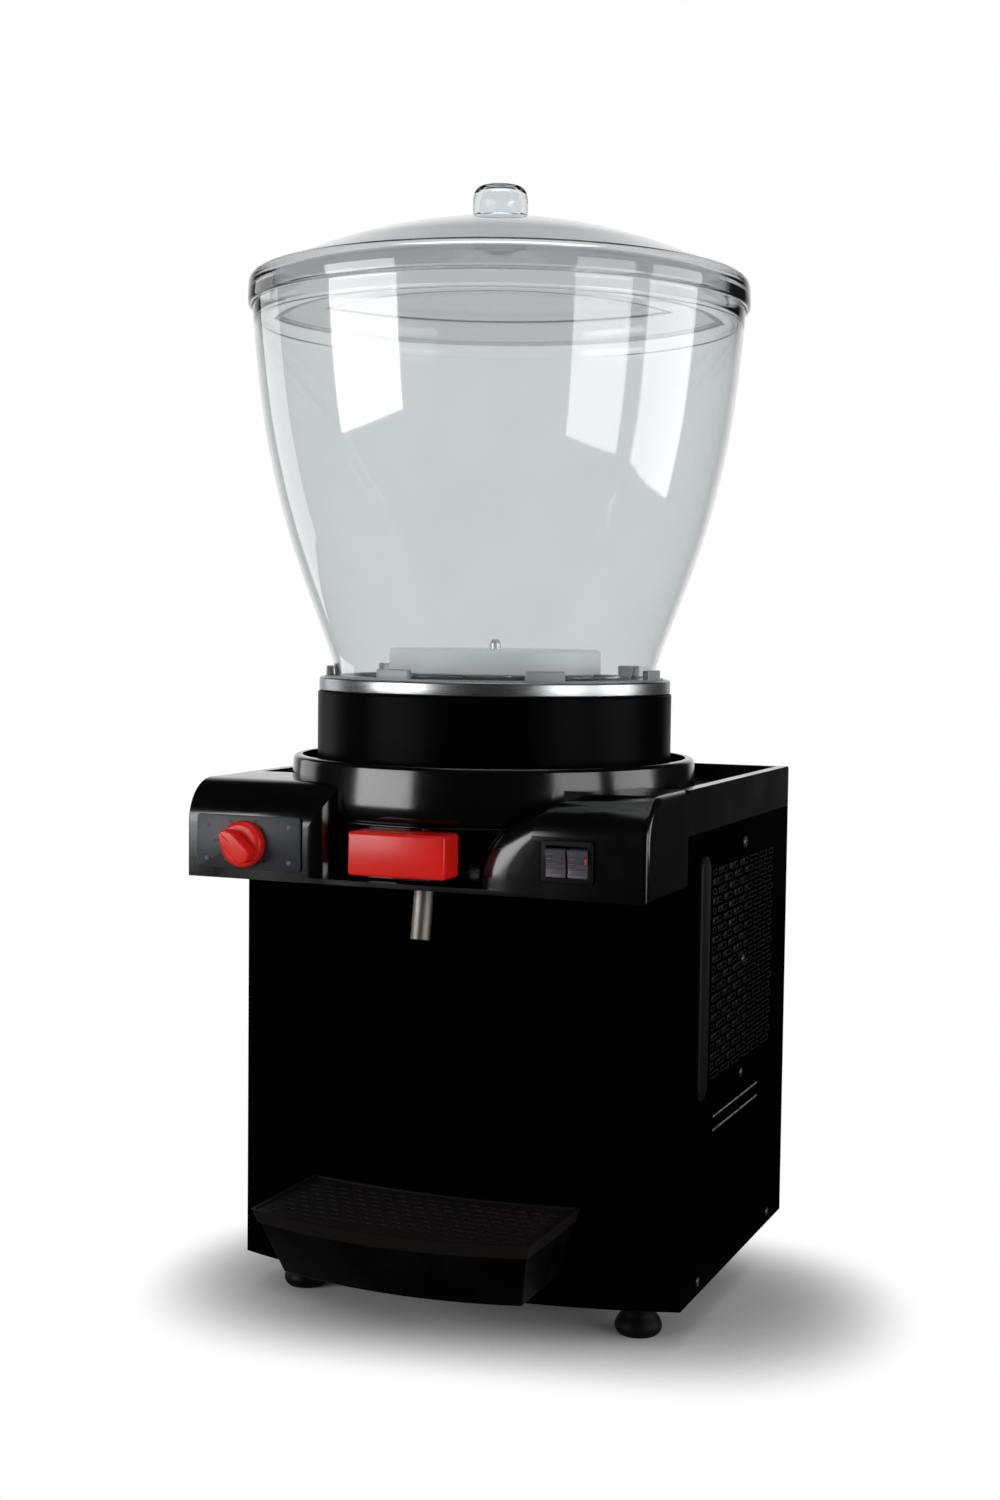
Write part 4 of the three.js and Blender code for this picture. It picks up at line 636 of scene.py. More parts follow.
# the right pod's flank seen from the front: deep in the bay, and where it meets the pod's face
flankDeep = [(47, 299), (47.5, 308), (50, 317), (54.5, 325), (61, 332.5), (70, 339.5), (81, 346), (94, 352),
             (108, 357.5), (120, 361.5), (128, 366)]
flankFace = [(72, 299), (72, 304.5), (73, 309), (75, 314.5), (78.5, 320.5), (83, 326.5), (90, 332.5),
             (99.5, 338), (111, 343), (125, 348.5), (134, 353)]
drum = {"radius": 149, "inner": 141, "top": 377, "deckHole": 146, "gutter": 127, "well": 123,
        "wellFloor": 338, "seat": 131}
dial = {"left": -161.5, "right": -80, "bottom": 301, "top": 338.5, "round": 2.5, "back": -87.8,
        "front": -89.3, "x": -123.6, "z": 319, "hole": 5.3}
switch = {"x": 115, "z": 319, "width": 36, "height": 28, "face": -87.8, "holeWide": 16.3, "holeHigh": 12.6,
          "bodyWide": 16, "bodyHigh": 12.3, "bodyDeep": 24, "pocketWide": 14.4, "pocketHigh": 10.7,
          "pocketDeep": 13, "pin": 1.5, "pinDeep": 4}
spoutSizes = {"outer": 6.8, "bore": 4.6, "length": 48, "y": -57, "z": 304, "lean": 10, "hole": 9,
              "holeY": -56.8}


def podSide(inset, bottom, back):
    # the pods from the side: upright front, rounded shoulder, level top
    front = -cover["reach"] + inset
    top = cover["top"] - inset
    radius = cover["shoulder"] - inset
    shoulder = arcLine(front + radius, top - radius, radius, 180, 90, 16)
    return [(front, bottom)] + shoulder + [(back, top), (back, bottom)]


def bayFront(share, grow):
    # the bay from the front, from deep in it (share 0) to the pods' faces (share 1)
    left = cover["bayLeft"] - cover["flankLeft"] * share - grow
    floor = cover["bayFloor"] - grow - cover["floorDip"] * min(10 * share, 1)
    deep, face = smoothLine(flankDeep, 3), smoothLine(flankFace, 3)
    flank = [(a + (c - a) * share + grow, b + (d - b) * share - grow) for (a, b), (c, d) in zip(deep, face)]
    return ([(left, floor), (flank[0][0], floor)] + flank[1:]
            + [(flank[-1][0], cover["bayTop"]), (left, cover["bayTop"])])


def bayCutter(grow, back, steps=10):
    # widens towards the front, so that the pods' inner edges come out rounded
    radius = cover["flank"]
    front = -cover["reach"]
    layers = [(back, bayFront(0, grow)), (front + radius, bayFront(0, grow))]
    for i in range(1, steps + 1):
        turn = math.radians(90 * i / steps)
        layers.append((front + radius - radius * math.sin(turn), bayFront(1 - math.cos(turn), grow)))
    layers.append((front - 6, bayFront(1, grow)))
    return lofted(layers, "y")


def drumSolid():
    # the drum round the bowl's seat: a thin lip over the tap, a groove and a full barrel
    outer, top = drum["radius"], drum["top"]
    return turned([(0, 334.5), (outer - 4, 334.5), (outer - 0.7, 334.9), (outer - 0.5, 336.2),
                   (outer - 3.4, 337.4), (outer - 0.7, 339), (outer, 342), (outer, 350), (outer - 1.7, top),
                   (0, top)], {2: 0.4, 3: 0.4, 4: 0.6, 5: 1, 8: 3.2})


def dialHole():
    return laidAlongY(rod(dial["hole"], -95, -80), dial["x"], dial["z"])


def coverBlocks():
    # the band round the case, and the fascia in front of it
    half, depth, top = case["half"], case["depth"], cover["top"]
    band = block((-half, 0, cover["bandBottom"]), (half, depth, top))
    soften(band, cover["edgeBack"], 6, where=lambda e: least(e, "z") > top - 1 and least(e, "y") > depth - 1)
    fascia = pulled(podSide(0, cover["podBottom"], bowlAxis), -half, half, "x")
    for side, rounding in ((-half, cover["edgeLeft"]), (half, cover["edgeRight"])):
        def onSideFace(edge):
            return all(abs(v.co.x - side) < 0.1 for v in edge.verts)
        soften(band, rounding, 6, where=lambda e: onSideFace(e) and least(e, "z") > top - 4
               and span(e, "y") > 9)
        soften(fascia, rounding, 6, where=lambda e: onSideFace(e) and least(e, "y") < bowlAxis - 1)
    return band, fascia


def coverShell():
    half, wall, depth, rim = case["half"], cover["wall"], case["depth"], cover["rim"]
    band, fascia = coverBlocks()
    deck = carve(block((-half + rim, cover["deckFront"], cover["deck"]),
                       (half - rim, depth - rim, cover["above"])),
                 *less(rod(drum["deckHole"], 340, 410, steps=fineSteps, centre=(0, bowlAxis))))
    room = block((-half + wall, -wall, cover["roomFloor"]), (half - wall, depth - wall, cover["roomTop"]))
    podRoom = pulled(podSide(wall, cover["roomFloor"], 1), -half + wall, half - wall, "x")
    rooms = carve(room, *plus(podRoom), *less(bayCutter(wall, cover["roomFront"])))
    below = pulled([(-half - 0.1, depth + 1)] + [(x, y - 0.3) for x, y in bowLine(0, half)]
                   + [(half + 0.1, depth + 1)], 290, cover["bandBottom"])
    gutter = tube(drum["gutter"], drum["inner"], cover["deck"], 390, {1: 2.5})
    well = turned([(0, drum["wellFloor"]), (drum["well"], drum["wellFloor"]), (drum["well"], cover["deck"]),
                   (drum["seat"], cover["deck"]), (drum["seat"], 395), (0, 395)])
    x, z, wide, high = sizesOf(switch, "x z holeWide holeHigh")
    rockerHole = block((x - wide, -95, z - high), (x + wide, -80, z + high))
    spoutHole = rod(spoutSizes["hole"], 290, 301, steps=48, centre=(0, spoutSizes["holeY"]))
    window = block((-cover["windowHalf"], cover["windowFront"], cover["roomFloor"]),       # for the valve
                   (cover["windowHalf"], cover["windowBack"], cover["windowTop"]))
    shell = carve(band, *plus(fascia), *less(bayCutter(0, cover["bayBack"]), deck), *plus(drumSolid()),
                  *less(rooms, below, gutter, well, dialHole(), rockerHole, spoutHole, window))
    bmesh.ops.remove_doubles(shell, verts=shell.verts, dist=0.02)
    bmesh.ops.dissolve_degenerate(shell, dist=0.01, edges=shell.edges)
    return shell


coverPiece = addPiece("topCoverMoulding", coverShell(), "root", coverBlack, "top_cover",
                      crease=32)
print("cover done:", len(coverPiece.data.polygons), "faces")


# Dial plate, knob and rocker switch

def dialPlate():
    outline = roundedPlate(dial["left"], dial["right"], dial["bottom"], dial["top"], dial["round"])
    plate = soften(pulled(outline, dial["back"], dial["front"], "y"), 0.5, 2, sharper=60)
    return carve(plate, *less(dialHole()))


addPiece("dialPlateFace", dialPlate(), "root", plateGrey, "dial_plate")

rivets = {"base": 89.2, "radius": 1.7, "edge": 0.5, "crown": 0.9, "slit": 0.25, "reach": 1.3,
          "places": [(-153, 331), (-89, 331.5), (-153.5, 307.5), (-89, 307)]}


def plateRivet(x, z):
    base, edge, slit, reach = sizesOf(rivets, "base edge slit reach")
    rivet = turned([(0, base), (rivets["radius"], base), (rivets["radius"], base + edge),
                    (0, base + rivets["crown"])], {2: 0.3}, steps=20, centre=(0, 0))
    rivet = carve(rivet, *less(block((-slit, -reach, base + edge), (slit, reach, base + 2))))
    return moved(swung(rivet, 90, "X"), x, 0, z)


for number, (x, z) in enumerate(rivets["places"]):
    addPiece("plateRivet%d" % (number + 1), plateRivet(x, z), "root", markGrey)

# plain dots and a dash round the knob
marks = {"reachX": 20.5, "reachZ": 17.6, "thick": 0.9, "dot": 1.3, "dash": 4.2, "round": 0.8, "front": -89.5,
         "back": -89.28, "dotsAt": (-42, 20, 65, 122, 176, 222), "dashAt": 176}
for number, degrees in enumerate(marks["dotsAt"]):
    angle = math.radians(degrees)
    long = marks["dash"] if degrees == marks["dashAt"] else marks["dot"]
    mark = pulled(roundedPlate(-long, long, -marks["thick"], marks["thick"], marks["round"], 3),
                  marks["front"], marks["back"], "y")
    across, up = marks["reachX"] * math.cos(angle), marks["reachZ"] * math.sin(angle)
    moved(mark, dial["x"] + across, 0, dial["z"] + up)
    addPiece("dialMark%d" % (number + 1), mark, "root", markDark)

knobSizes = {"radius": 16.3, "grip": 12.5, "top": -107, "front": -97, "back": -89.6, "pointer": -3,
             "nose": 5, "rest": 42, "flutes": 18, "flute": 1.1, "bore": 3.3}


def selectorKnob():
    # a low drum with a bar across it that runs out into a blunt pointer
    radius, top, front, back = sizesOf(knobSizes, "radius top front back")
    bm = turned([(0, front), (radius - 2.2, front), (radius - 0.2, front + 2.2), (radius, back), (0, back)],
                {1: 1.6, 2: 1.2, 3: 0.5}, steps=96, centre=(0, 0))
    laidAlongY(bm, 0, 0)
    reach, half, nose = radius + knobSizes["pointer"], knobSizes["grip"] / 2, knobSizes["nose"]
    outline = (arcLine(-reach + nose, 0, nose, 250, 110, 10) + [(-radius * 0.5, half)]
               + arcLine(radius - 1.5 - half, 0, half, 90, -90, 12) + [(-radius * 0.5, -half)])
    bar = pulled(outline, top, back - 2.2, "y")
    soften(bar, 1.3, 4, sharper=35, where=lambda e: least(e, "y") < front - 2)
    flutes = []
    for i in range(knobSizes["flutes"]):
        turn, out = math.tau * i / knobSizes["flutes"], radius + 0.6
        flute = rod(knobSizes["flute"], front - 1, back + 1, steps=12)
        flutes.append(laidAlongY(flute, out * math.cos(turn), out * math.sin(turn)))
    bore = laidAlongY(rod(knobSizes["bore"], front, back + 2, steps=24), 0, 0)
    slit = block((-reach + 0.8, top - 5, -0.5), (-radius * 0.3, top + 0.5, 0.5))
    bm = carve(bm, *less(*flutes), *plus(bar), *less(bore, slit))
    return moved(swung(bm, knobSizes["rest"], "Y"), dial["x"], 0, dial["z"])


addPiece("selectorKnobRed", selectorKnob(), "selector", knobRed, "selector_knob")


def rockerFrame():
    x, z, face, width, height = sizesOf(switch, "x z face width height")
    outline = roundedPlate(x - width / 2, x + width / 2, z - height / 2, z + height / 2, 2)
    rim = soften(pulled(outline, face, face - 2, "y"), 0.7, 3, sharper=50)
    wide, high, deep = sizesOf(switch, "bodyWide bodyHigh bodyDeep")
    body = block((x - wide, face - 0.3, z - high), (x + wide, face + deep, z + high))
    wide, high, deep = sizesOf(switch, "pocketWide pocketHigh pocketDeep")
    pocket = block((x - wide, face - 4, z - high), (x + wide, face + deep, z + high))
    pin = laidAlongX(rod(switch["pin"], x - 20, x + 20, steps=16), face + switch["pinDeep"], z)
    return carve(rim, *plus(body), *less(pocket, pin))


addPiece("rockerFrame", rockerFrame(), "root", satinBlack, "rocker_housing")

keys = {"width": 13.8, "face": 9.2, "rise": 6.6, "dish": 1.6, "apart": 7.6, "axis": -83.8, "rest": 8,
        "ribs": 5, "pitch": 3.2, "rib": 0.45, "stub": 1.2,
        "mark": ((128.2, -92.4, 318), (129.4, -91.2, 322))}


def rockerKey(sign):
    half, face, rise, dish = keys["width"] / 2, keys["face"], keys["rise"], keys["dish"]
    outline = [(-rise - dish, face), (-rise - 0.35, face / 2), (-rise, 0), (-rise - 0.35, -face / 2),
               (-rise - dish, -face), (-dish, -face), (face / 2, -dish), (face / 2, dish), (-dish, face)]
    key = soften(pulled(outline, -half, half, "x"), 0.6, 3, sharper=50)
    ribs = []
    for i in range(keys["ribs"]):
        z = keys["pitch"] * (i - (keys["ribs"] - 1) / 2)
        rib = block((-half + 1.6, -rise - 1.15, z - keys["rib"]), (half - 1.6, -rise + 2, z + keys["rib"]))
        ribs.append(soften(rib, 0.2, 2, sharper=60))
    stub = onSide(laidAlongX(rod(keys["stub"], 0, half + 0.8, steps=16), 0, 0), sign)
    bm = carve(key, *plus(*ribs, stub))
    return moved(swung(bm, keys["rest"], "X"), switch["x"] + sign * keys["apart"], keys["axis"], switch["z"])


for side, sign in sides[::-1]:
    addPiece("rockerKey" + side, rockerKey(sign), "rocker_key_" + side.lower(), keyGrey,
             "rocker_" + side.lower())
keyMark = soften(block(*keys["mark"]), 0.3, 2, sharper=60)
addPiece("rockerKeyMark", keyMark, "rocker_key_right", markRed)
print("switches done")


# Tap: paddle and spout

paddle = {"half": 35.6, "front": -108, "back": -84, "bottom": 304, "top": 333.5, "crown": 1.4, "lean": 0.4,
          "round": 2.2, "wall": 3, "face": 4.4, "pinHalf": 34.2, "pin": 2.2, "pinY": -89, "pinZ": 325}


def paddleShell():
    half, front, back, wall = sizesOf(paddle, "half front back wall")
    bm = block((-half, front, paddle["bottom"]), (half, back, paddle["top"]))
    across = [e for e in bm.edges if span(e, "x") > 1]
    bmesh.ops.subdivide_edges(bm, edges=across, cuts=11, use_grid_fill=True)
    for vert in bm.verts:
        if vert.co.y < front + 1:
            lean = paddle["lean"] if vert.co.z < paddle["bottom"] + 6 else 0
            vert.co.y += paddle["crown"] * (vert.co.x / half) ** 2 - lean
    soften(bm, paddle["round"], 5, sharper=50, where=lambda e: least(e, "y") < back - 0.5)
    room = block((-half + wall, front + paddle["face"], paddle["bottom"] + wall),
                 (half - wall, back + 4, paddle["top"] - wall))
    reach = paddle["pinHalf"] + 0.2
    pinHole = rod(paddle["pin"] + 0.1, -reach, reach, steps=24)
    return carve(bm, *less(room, laidAlongX(pinHole, paddle["pinY"], paddle["pinZ"])))


addPiece("tapPaddleRed", paddleShell(), "paddle", paddleRed, "tap_paddle")
paddlePin = rod(paddle["pin"], -paddle["pinHalf"], paddle["pinHalf"], {1: 0.4, 2: 0.4})
addPiece("tapPaddlePin", laidAlongX(paddlePin, paddle["pinY"], paddle["pinZ"]), "root", spoutSteel,
         "paddle_pin")

spout = tube(spoutSizes["bore"], spoutSizes["outer"], -spoutSizes["length"], -0.3, {0: 0.5, 1: 0.6},
             steps=64, centre=(0, 0))
moved(swung(spout, -spoutSizes["lean"], "X"), 0, spoutSizes["y"], spoutSizes["z"])
addPiece("spoutSteel", spout, "root", spoutSteel, "spout")
print("tap done")


# Bowl seat: collar, silver ring, cooling plate, seal, stirring wheel

seat = {"collar": 130, "collarWall": 3, "bottom": 350.3, "top": 423.5, "mouth": 111, "gap": 0.3,
        "ringInner": 125, "ringOuter": 129, "ring": 10, "plate": 124.4, "plateThick": 2.5, "outlet": 5.3,
        "outletY": -39, "sealInner": 114.5, "sealOuter": 123.5, "sealThick": 2, "post": 4, "postFoot": 12,
        "postTip": 2.4, "postTop": 462.6}
plateBottom = seat["top"] + seat["gap"]
plateTop = plateBottom + seat["plateThick"]
sealBottom = plateTop + seat["gap"]
sealTop = sealBottom + seat["sealThick"]
collarInner, lipBottom = seat["collar"] - seat["collarWall"], seat["top"] - seat["collarWall"]

collarLine = [(collarInner, seat["bottom"]), (seat["collar"], seat["bottom"]), (seat["collar"], seat["top"]),
              (seat["mouth"], seat["top"]), (seat["mouth"], lipBottom), (collarInner, lipBottom)]
addPiece("bowlCollar", turned(collarLine, {1: 0.8, 2: 1.2, 3: 0.8}, closed=True), "root", glossBlack,
         "collar")
baseRing = tube(seat["ringInner"], seat["ringOuter"], plateBottom, plateBottom + seat["ring"],
                {0: 0.6, 1: 1.2, 2: 1.9, 3: 0.8})
addPiece("silverBaseRing", baseRing, "root", silver, "base_ring")
plate = rod(seat["plate"], plateBottom, plateTop, {2: 0.8}, steps=fineSteps, centre=(0, bowlAxis))
plate = carve(plate, *less(rod(seat["outlet"], 420, 430, centre=(0, seat["outletY"]))))
addPiece("coolingPlateDisc", plate, "root", plateSteel, "cooling_plate")
seal = tube(seat["sealInner"], seat["sealOuter"], sealBottom, sealTop, {0: 0.6, 1: 0.6, 2: 0.9, 3: 0.9})
addPiece("bowlSealRing", seal, "root", sealWhite, "bowl_seal")
post, postFoot, postTip, postTop = sizesOf(seat, "post postFoot postTip postTop")
postLine = [(0, sealBottom), (postFoot, sealBottom), (postFoot, sealTop), (post, sealTop),
            (post, postTop - 3.1), (postTip, postTop), (0, postTop)]
addPiece("wheelPostPin", turned(postLine, {2: 0.8, 3: 1.4, 4: 1, 5: 0.8}, steps=64), "root", plateSteel,
         "wheel_post")

wheel = {"radius": 78, "hub": 24, "bore": 4.6, "shroud": 75.2, "bottom": 434.2, "shroudBottom": 437.5,
         "disc": 450.2, "top": 455.2, "vanes": 6, "vane": 2, "vaneInner": 22, "vaneOuter": 76.4,
         "vaneBottom": 436, "vaneTop": 452.5}


def stirringWheel():
    radius, hub, bore, shroud, disc = sizesOf(wheel, "radius hub bore shroud disc")
    bottom, edge, top = sizesOf(wheel, "bottom shroudBottom top")
    line = [(bore, bottom), (hub, bottom), (hub, disc), (shroud, disc), (shroud, edge), (radius, edge),
            (radius, top), (bore, top)]
    body = turned(line, {1: 1, 2: 4, 3: 1.4, 4: 0.5, 5: 0.8, 6: 2.6, 7: 1.2}, closed=True, centre=(0, 0))
    vanes = []
    for i in range(wheel["vanes"]):
        vane = block((wheel["vaneInner"], -wheel["vane"], wheel["vaneBottom"]),
                     (wheel["vaneOuter"], wheel["vane"], wheel["vaneTop"]))
        vanes.append(swung(soften(vane, 1.1, 3, sharper=50), 360 * i / wheel["vanes"], "Z"))
    return moved(carve(body, *plus(*vanes)), 0, bowlAxis, 0)


addPiece("stirringWheelWhite", stirringWheel(), "wheel", wheelWhite, "stirring_wheel")
print("seat done")


# Clear bowl, locking ring, lid and knob

bowl = {"foot": 117.5, "wall": 3, "flange": 124, "bottom": 428.9, "flangeTop": 432.1, "bead": 1.1,
        "line": [(117.5, 434), (119.4, 446), (124.8, 461), (130.4, 476), (136.0, 491), (141.3, 505.5),
                 (146.3, 520), (150.9, 534), (155.2, 549), (159.0, 563), (162.5, 578), (165.5, 592),
                 (168.2, 606), (170.6, 620.5), (172.6, 635), (174.3, 649), (175.8, 663), (177.2, 677),
                 (178.3, 690), (179, 702.9)],
        "groove": [(176, 692.6), (174.9, 691), (176, 689.4)], "beads": ((691, 1.6), (680, 1.4))}


def bowlShell():
    outer = smoothLine(bowl["line"], 3)
    inner = list(bowl["groove"])
    for radius, height in outer:
        bead = sum(max(0, 1 - abs(height - middle) / half) for middle, half in bowl["beads"])
        inner.append((radius - bowl["wall"] - bowl["bead"] * bead, height))
    inner = sorted(set(inner), key=lambda point: point[1])
    foot = [(bowl["foot"] - bowl["wall"], bowl["bottom"]), (bowl["flange"], bowl["bottom"]),
            (bowl["flange"], bowl["flangeTop"])]
    return turned(foot + outer + inner[::-1], {1: 0.6, 2: 0.9}, closed=True, steps=144)


addPiece("bowlShell", bowlShell(), "bowl_unit", bowlClear, "bowl")

lugs = {"inner": 119.4, "outer": 124, "bottom": 432.4, "ringTop": 434.9, "count": 7, "half": 6.5,
        "low": 433.6, "high": 441.4}


def lockingRing():
    inner, outer, half = sizesOf(lugs, "inner outer half")
    base = tube(inner, outer, lugs["bottom"], lugs["ringTop"], {2: 0.8, 3: 0.8}, centre=(0, 0))
    blocks = []
    for i in range(lugs["count"]):
        middle = 360 * i / lugs["count"]
        outline = (arcLine(0, 0, outer, middle - half, middle + half, 10)
                   + arcLine(0, 0, inner, middle + half, middle - half, 10))
        blocks.append(soften(pulled(outline, lugs["low"], lugs["high"]), 0.9, 3, sharper=50))
    return moved(carve(base, *plus(*blocks)), 0, bowlAxis, 0)


addPiece("lockingRingLugs", lockingRing(), "bowl_unit", ringGrey, "locking_ring")

lid = {"wall": 2.6, "under": 0.986,
       "skirt": [(179.3, 700.4), (181.2, 700.4), (182.2, 702.2), (182.2, 711), (181.9, 716), (181, 719.2),
                 (179.2, 721)],
       "line": [(175.5, 721.4), (166, 725.3), (150, 731.9), (128, 740.8), (100, 749.8), (70, 757.3),
                (40, 763.5), (20, 766.8), (0, 768.3)],
       "inside": [(175.4, 716.6), (177.2, 712.6), (177.6, 705), (176.3, 703.2), (179.3, 703.2)],
       "knob": [(0, 786.6), (11, 786.6), (14.4, 784.4), (15.4, 780), (15.8, 768.7), (19.2, 768.7),
                (20, 769.6), (20, 783.5), (18, 788.6), (13.5, 791.2), (0, 791.2)],
       "knobSoft": {1: 1.5, 2: 1.2, 3: 1.6, 7: 3, 8: 2.4, 9: 3}}


def lidShell():
    dome = smoothLine(lid["line"], 4)
    under = [(radius * lid["under"], height - lid["wall"]) for radius, height in dome[::-1]]
    return turned(lid["skirt"] + dome + under + lid["inside"], {1: 0.5}, closed=True, steps=144)


addPiece("lidShell", lidShell(), "lid_unit", lidClear, "lid")
addPiece("lidKnobClear", turned(lid["knob"], lid["knobSoft"], steps=96), "lid_unit", knobClear,
         "lid_knob")
print("bowl done")


# Drip tray and grille

tray = {"half": 103, "top": 71, "bottom": 22, "bow": 19, "wall": 2.5, "thick": 6.5, "draft": 14,
        "front": -135, "gap": 0.3, "seat": 67.2, "bandBottom": 60.5, "bandStep": 1.4, "hookX": 45,
        "hookHalf": 9, "hookFront": -29, "hookBack": -18.96, "hookBottom": 50, "hookTop": 59}


def trayFront(x):
    radius = bowRadius(tray["half"], tray["bow"])
    return tray["front"] + radius - math.sqrt(radius ** 2 - x * x)


def trayPlan(inset, backInset, lean=0, steps=40):
    # bowed front, straight sides and a back hollowed to the case's bow
    half = tray["half"] - inset - lean
    back = [(x, y - tray["gap"] - backInset) for x, y in bowLine(0, half, steps)]
    return [(x, trayFront(x) + inset + 2 * lean) for x, y in back] + back[::-1]


def dripTray():
    # leans in towards its foot, with a proud band under the rim
    bottom, top, wall, thick, draft, band = sizesOf(tray, "bottom top wall thick draft bandBottom")
    outer = lofted([(bottom, trayPlan(0, 0, draft)), (band, trayPlan(tray["bandStep"], 0, draft * 0.21)),
                    (band + 0.5, trayPlan(0, 0, draft * 0.2)), (top, trayPlan(0, 0))])
    soften(outer, 1.5, 4, sharper=45, where=lambda e: span(e, "z") > 5 or least(e, "z") < bottom + 1)
    basin = lofted([(bottom + wall, trayPlan(thick, thick, draft)),
                    (top + 1, trayPlan(thick, thick, -0.3))])
    rest = pulled(trayPlan(wall, wall), tray["seat"], top + 3)
    half, front, back, low, high = sizesOf(tray, "hookHalf hookFront hookBack hookBottom hookTop")
    hooks = [block((x - half, front, low), (x + half, back, high)) for x in (-tray["hookX"], tray["hookX"])]
    return carve(outer, *less(basin, rest), *plus(*hooks))


def trayFinish():
    # moulded black, a little paler along the band under the rim
    finish = Finish("tray black", Specular_IOR_Level=0.06)
    height = finish.node("ShaderNodeSeparateXYZ", None, {"Vector": finish.place()}).pick("Z")
    band = finish.spread(height, 0, 1, 0.0868, 0.0882)
    worn = finish.spread(finish.noise(24, detail=5, roughness=0.6), 0, 1, 0.42, 0.68)
    base = finish.blendColour(worn * 0.7, colour(2, 2, 2), colour(15, 13, 13))
    base = finish.blendColour(band, base, colour(24, 20, 20))
    return finish.feed(Base_Color=base, Roughness=finish.spread(worn, 0.4, 0.5),
                       Normal=finish.bump(finish.noise(420), 0.35, 0.00005))


addPiece("dripTrayBody", dripTray(), "tray", trayFinish(), "drip_tray")

mesh = {"pitchX": 11.4, "pitchY": 9.6, "slot": 7.4, "height": 4.6, "clip": 1.5, "margin": 11, "back": -44.5,
        "frontMargin": 9, "columns": 9, "bottom": 67.5, "top": 70}


def grilleHoles():
    holes = []
    y, row = mesh["back"], 0
    while y > tray["front"] + 14:
        for column in range(-mesh["columns"], mesh["columns"] + 1):
            x = (column + (0.5 if row % 2 else 0)) * mesh["pitchX"]
            if abs(x) < tray["half"] - mesh["margin"] and y - trayFront(x) > mesh["frontMargin"]:
                half = mesh["slot"] / 2
                holes.append(slotOutline(x - half, x + half, y, mesh["height"], mesh["clip"]))
        y -= mesh["pitchY"]
        row += 1
    return holes


grillePlate = pierced(trayPlan(3.1, 2.8), grilleHoles(), mesh["bottom"], mesh["top"])
addPiece("dripGrillePlate", grillePlate, "grille", grilleBlack, "drip_grille")
print("tray done")


# CAD pieces that stay get better finishes

keptPieces = [
    (panelBlack, "back_panel"), (innerSteel, "base_pan"), (finMetal, "condenser"),
    (plateGrey, "control_box"), (magnetGrey, "wheel_magnet"),
    (canEnamel, "compressor", "mixer_motor"), (blackRubber, "compressor_mat", "plunger_seal"),
    (zincPlate, "compressor_plate", "drive_rotor", "fan_bracket", "fan_motor", "motor_plate"),
    (copperTube, "cooling_coil", "discharge_line", "suction_line", "filter_drier"),
    (spoutSteel, "outlet_pipe", "plunger_spring", "selector_shaft", "valve_plunger"),
    (satinBlack, "fan_shroud", "fan_wheel", "power_inlet", "selector_switch", "valve_body", "valve_cap"),
]
for finish, *nodes in keptPieces:
    for name in nodes:
        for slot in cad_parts[name].material_slots:
            slot.material = finish
print("kept pieces finished:", sum(len(nodes) for finish, *nodes in keptPieces))


# Floor, background, lamps and camera

backdrop = {"x": -0.377, "y": 0.926, "flatten": 0.8, "wide": 0.95, "edge": 0.82, "dim": 0.02,
            "ambient": 0.33}
# in metres: the soft oval of lit grey floor under the machine, which fades into the white backdrop; its
# outline follows the machine's shadow, so the shadow there is partly rendered and partly a painted shadow
floorShadowOval = {"radius": 14, "middle": (0.025, 0.004, 0), "turn": 0.17, "reach": (0.295, 0.2, 1),
              "fadeFrom": 0.08, "fadeTo": 1.02}


def backdropMask(net, towards):
    # 1 where the white backdrop stands behind the object, dimmer towards the room
    level = net.vectors("NORMALIZE", net.vectors("MULTIPLY", towards, (1, 1, backdrop["flatten"])))
    aim = net.vectors("DOT_PRODUCT", level, (backdrop["x"], backdrop["y"], 0)).pick("Value")
    return net.spread(aim, backdrop["dim"], 1, backdrop["edge"], backdrop["wide"])


def studioFloor():
    bm = bmesh.new()
    bmesh.ops.create_circle(bm, cap_ends=True, radius=floorShadowOval["radius"], segments=96)
    floor = asObject("studioFloor", bm)
    paint = bpy.data.materials.new("floor white")
    net = Net(paint)
    place = net.vectors("MULTIPLY", net.place(), (1, 1, 0))
    patch = net.node("ShaderNodeMapping", {"vector_type": "TEXTURE"}, {
        "Vector": place, "Location": floorShadowOval["middle"], "Rotation": (0, 0, floorShadowOval["turn"]),
        "Scale": floorShadowOval["reach"]})
    oval = net.node("ShaderNodeSeparateXYZ", None, {"Vector": patch})
    wide, deep = oval.pick("X") * oval.pick("X"), oval.pick("Y") * oval.pick("Y")
    # grey floor inside this oval, white emission outside: the oval is a painted shadow outline, darkened
    # within by rendered shadow
    far = net.node("ShaderNodeMapRange", {"interpolation_type": "SMOOTHSTEP"}, {
        "Value": wide * wide + deep, "From Min": floorShadowOval["fadeFrom"], "From Max": floorShadowOval["fadeTo"],
        "To Min": 0, "To Max": 1})
    direct, mirrored = net.rays()
    speck = net.spread(net.noise(300), 0, 1)
    # a grey floor colour, shown only inside the oval: painted shadow on top of the rendered one
    white = net.blendColour(speck, (0.58, 0.58, 0.58, 1), (0.62, 0.62, 0.62, 1))
    matt = net.node("ShaderNodeBsdfDiffuse", None, {"Color": white})
    sky = net.node("ShaderNodeEmission", None, {
        "Color": (1, 1, 1, 1), "Strength": direct + (1 - direct) * backdropMask(net, place)})
    mixed = net.node("ShaderNodeMixShader", None, {0: direct.most(mirrored) * far, 1: matt, 2: sky})
    net.node("ShaderNodeOutputMaterial", None, {"Surface": mixed})
    floor.data.materials.append(paint)


studioFloor()


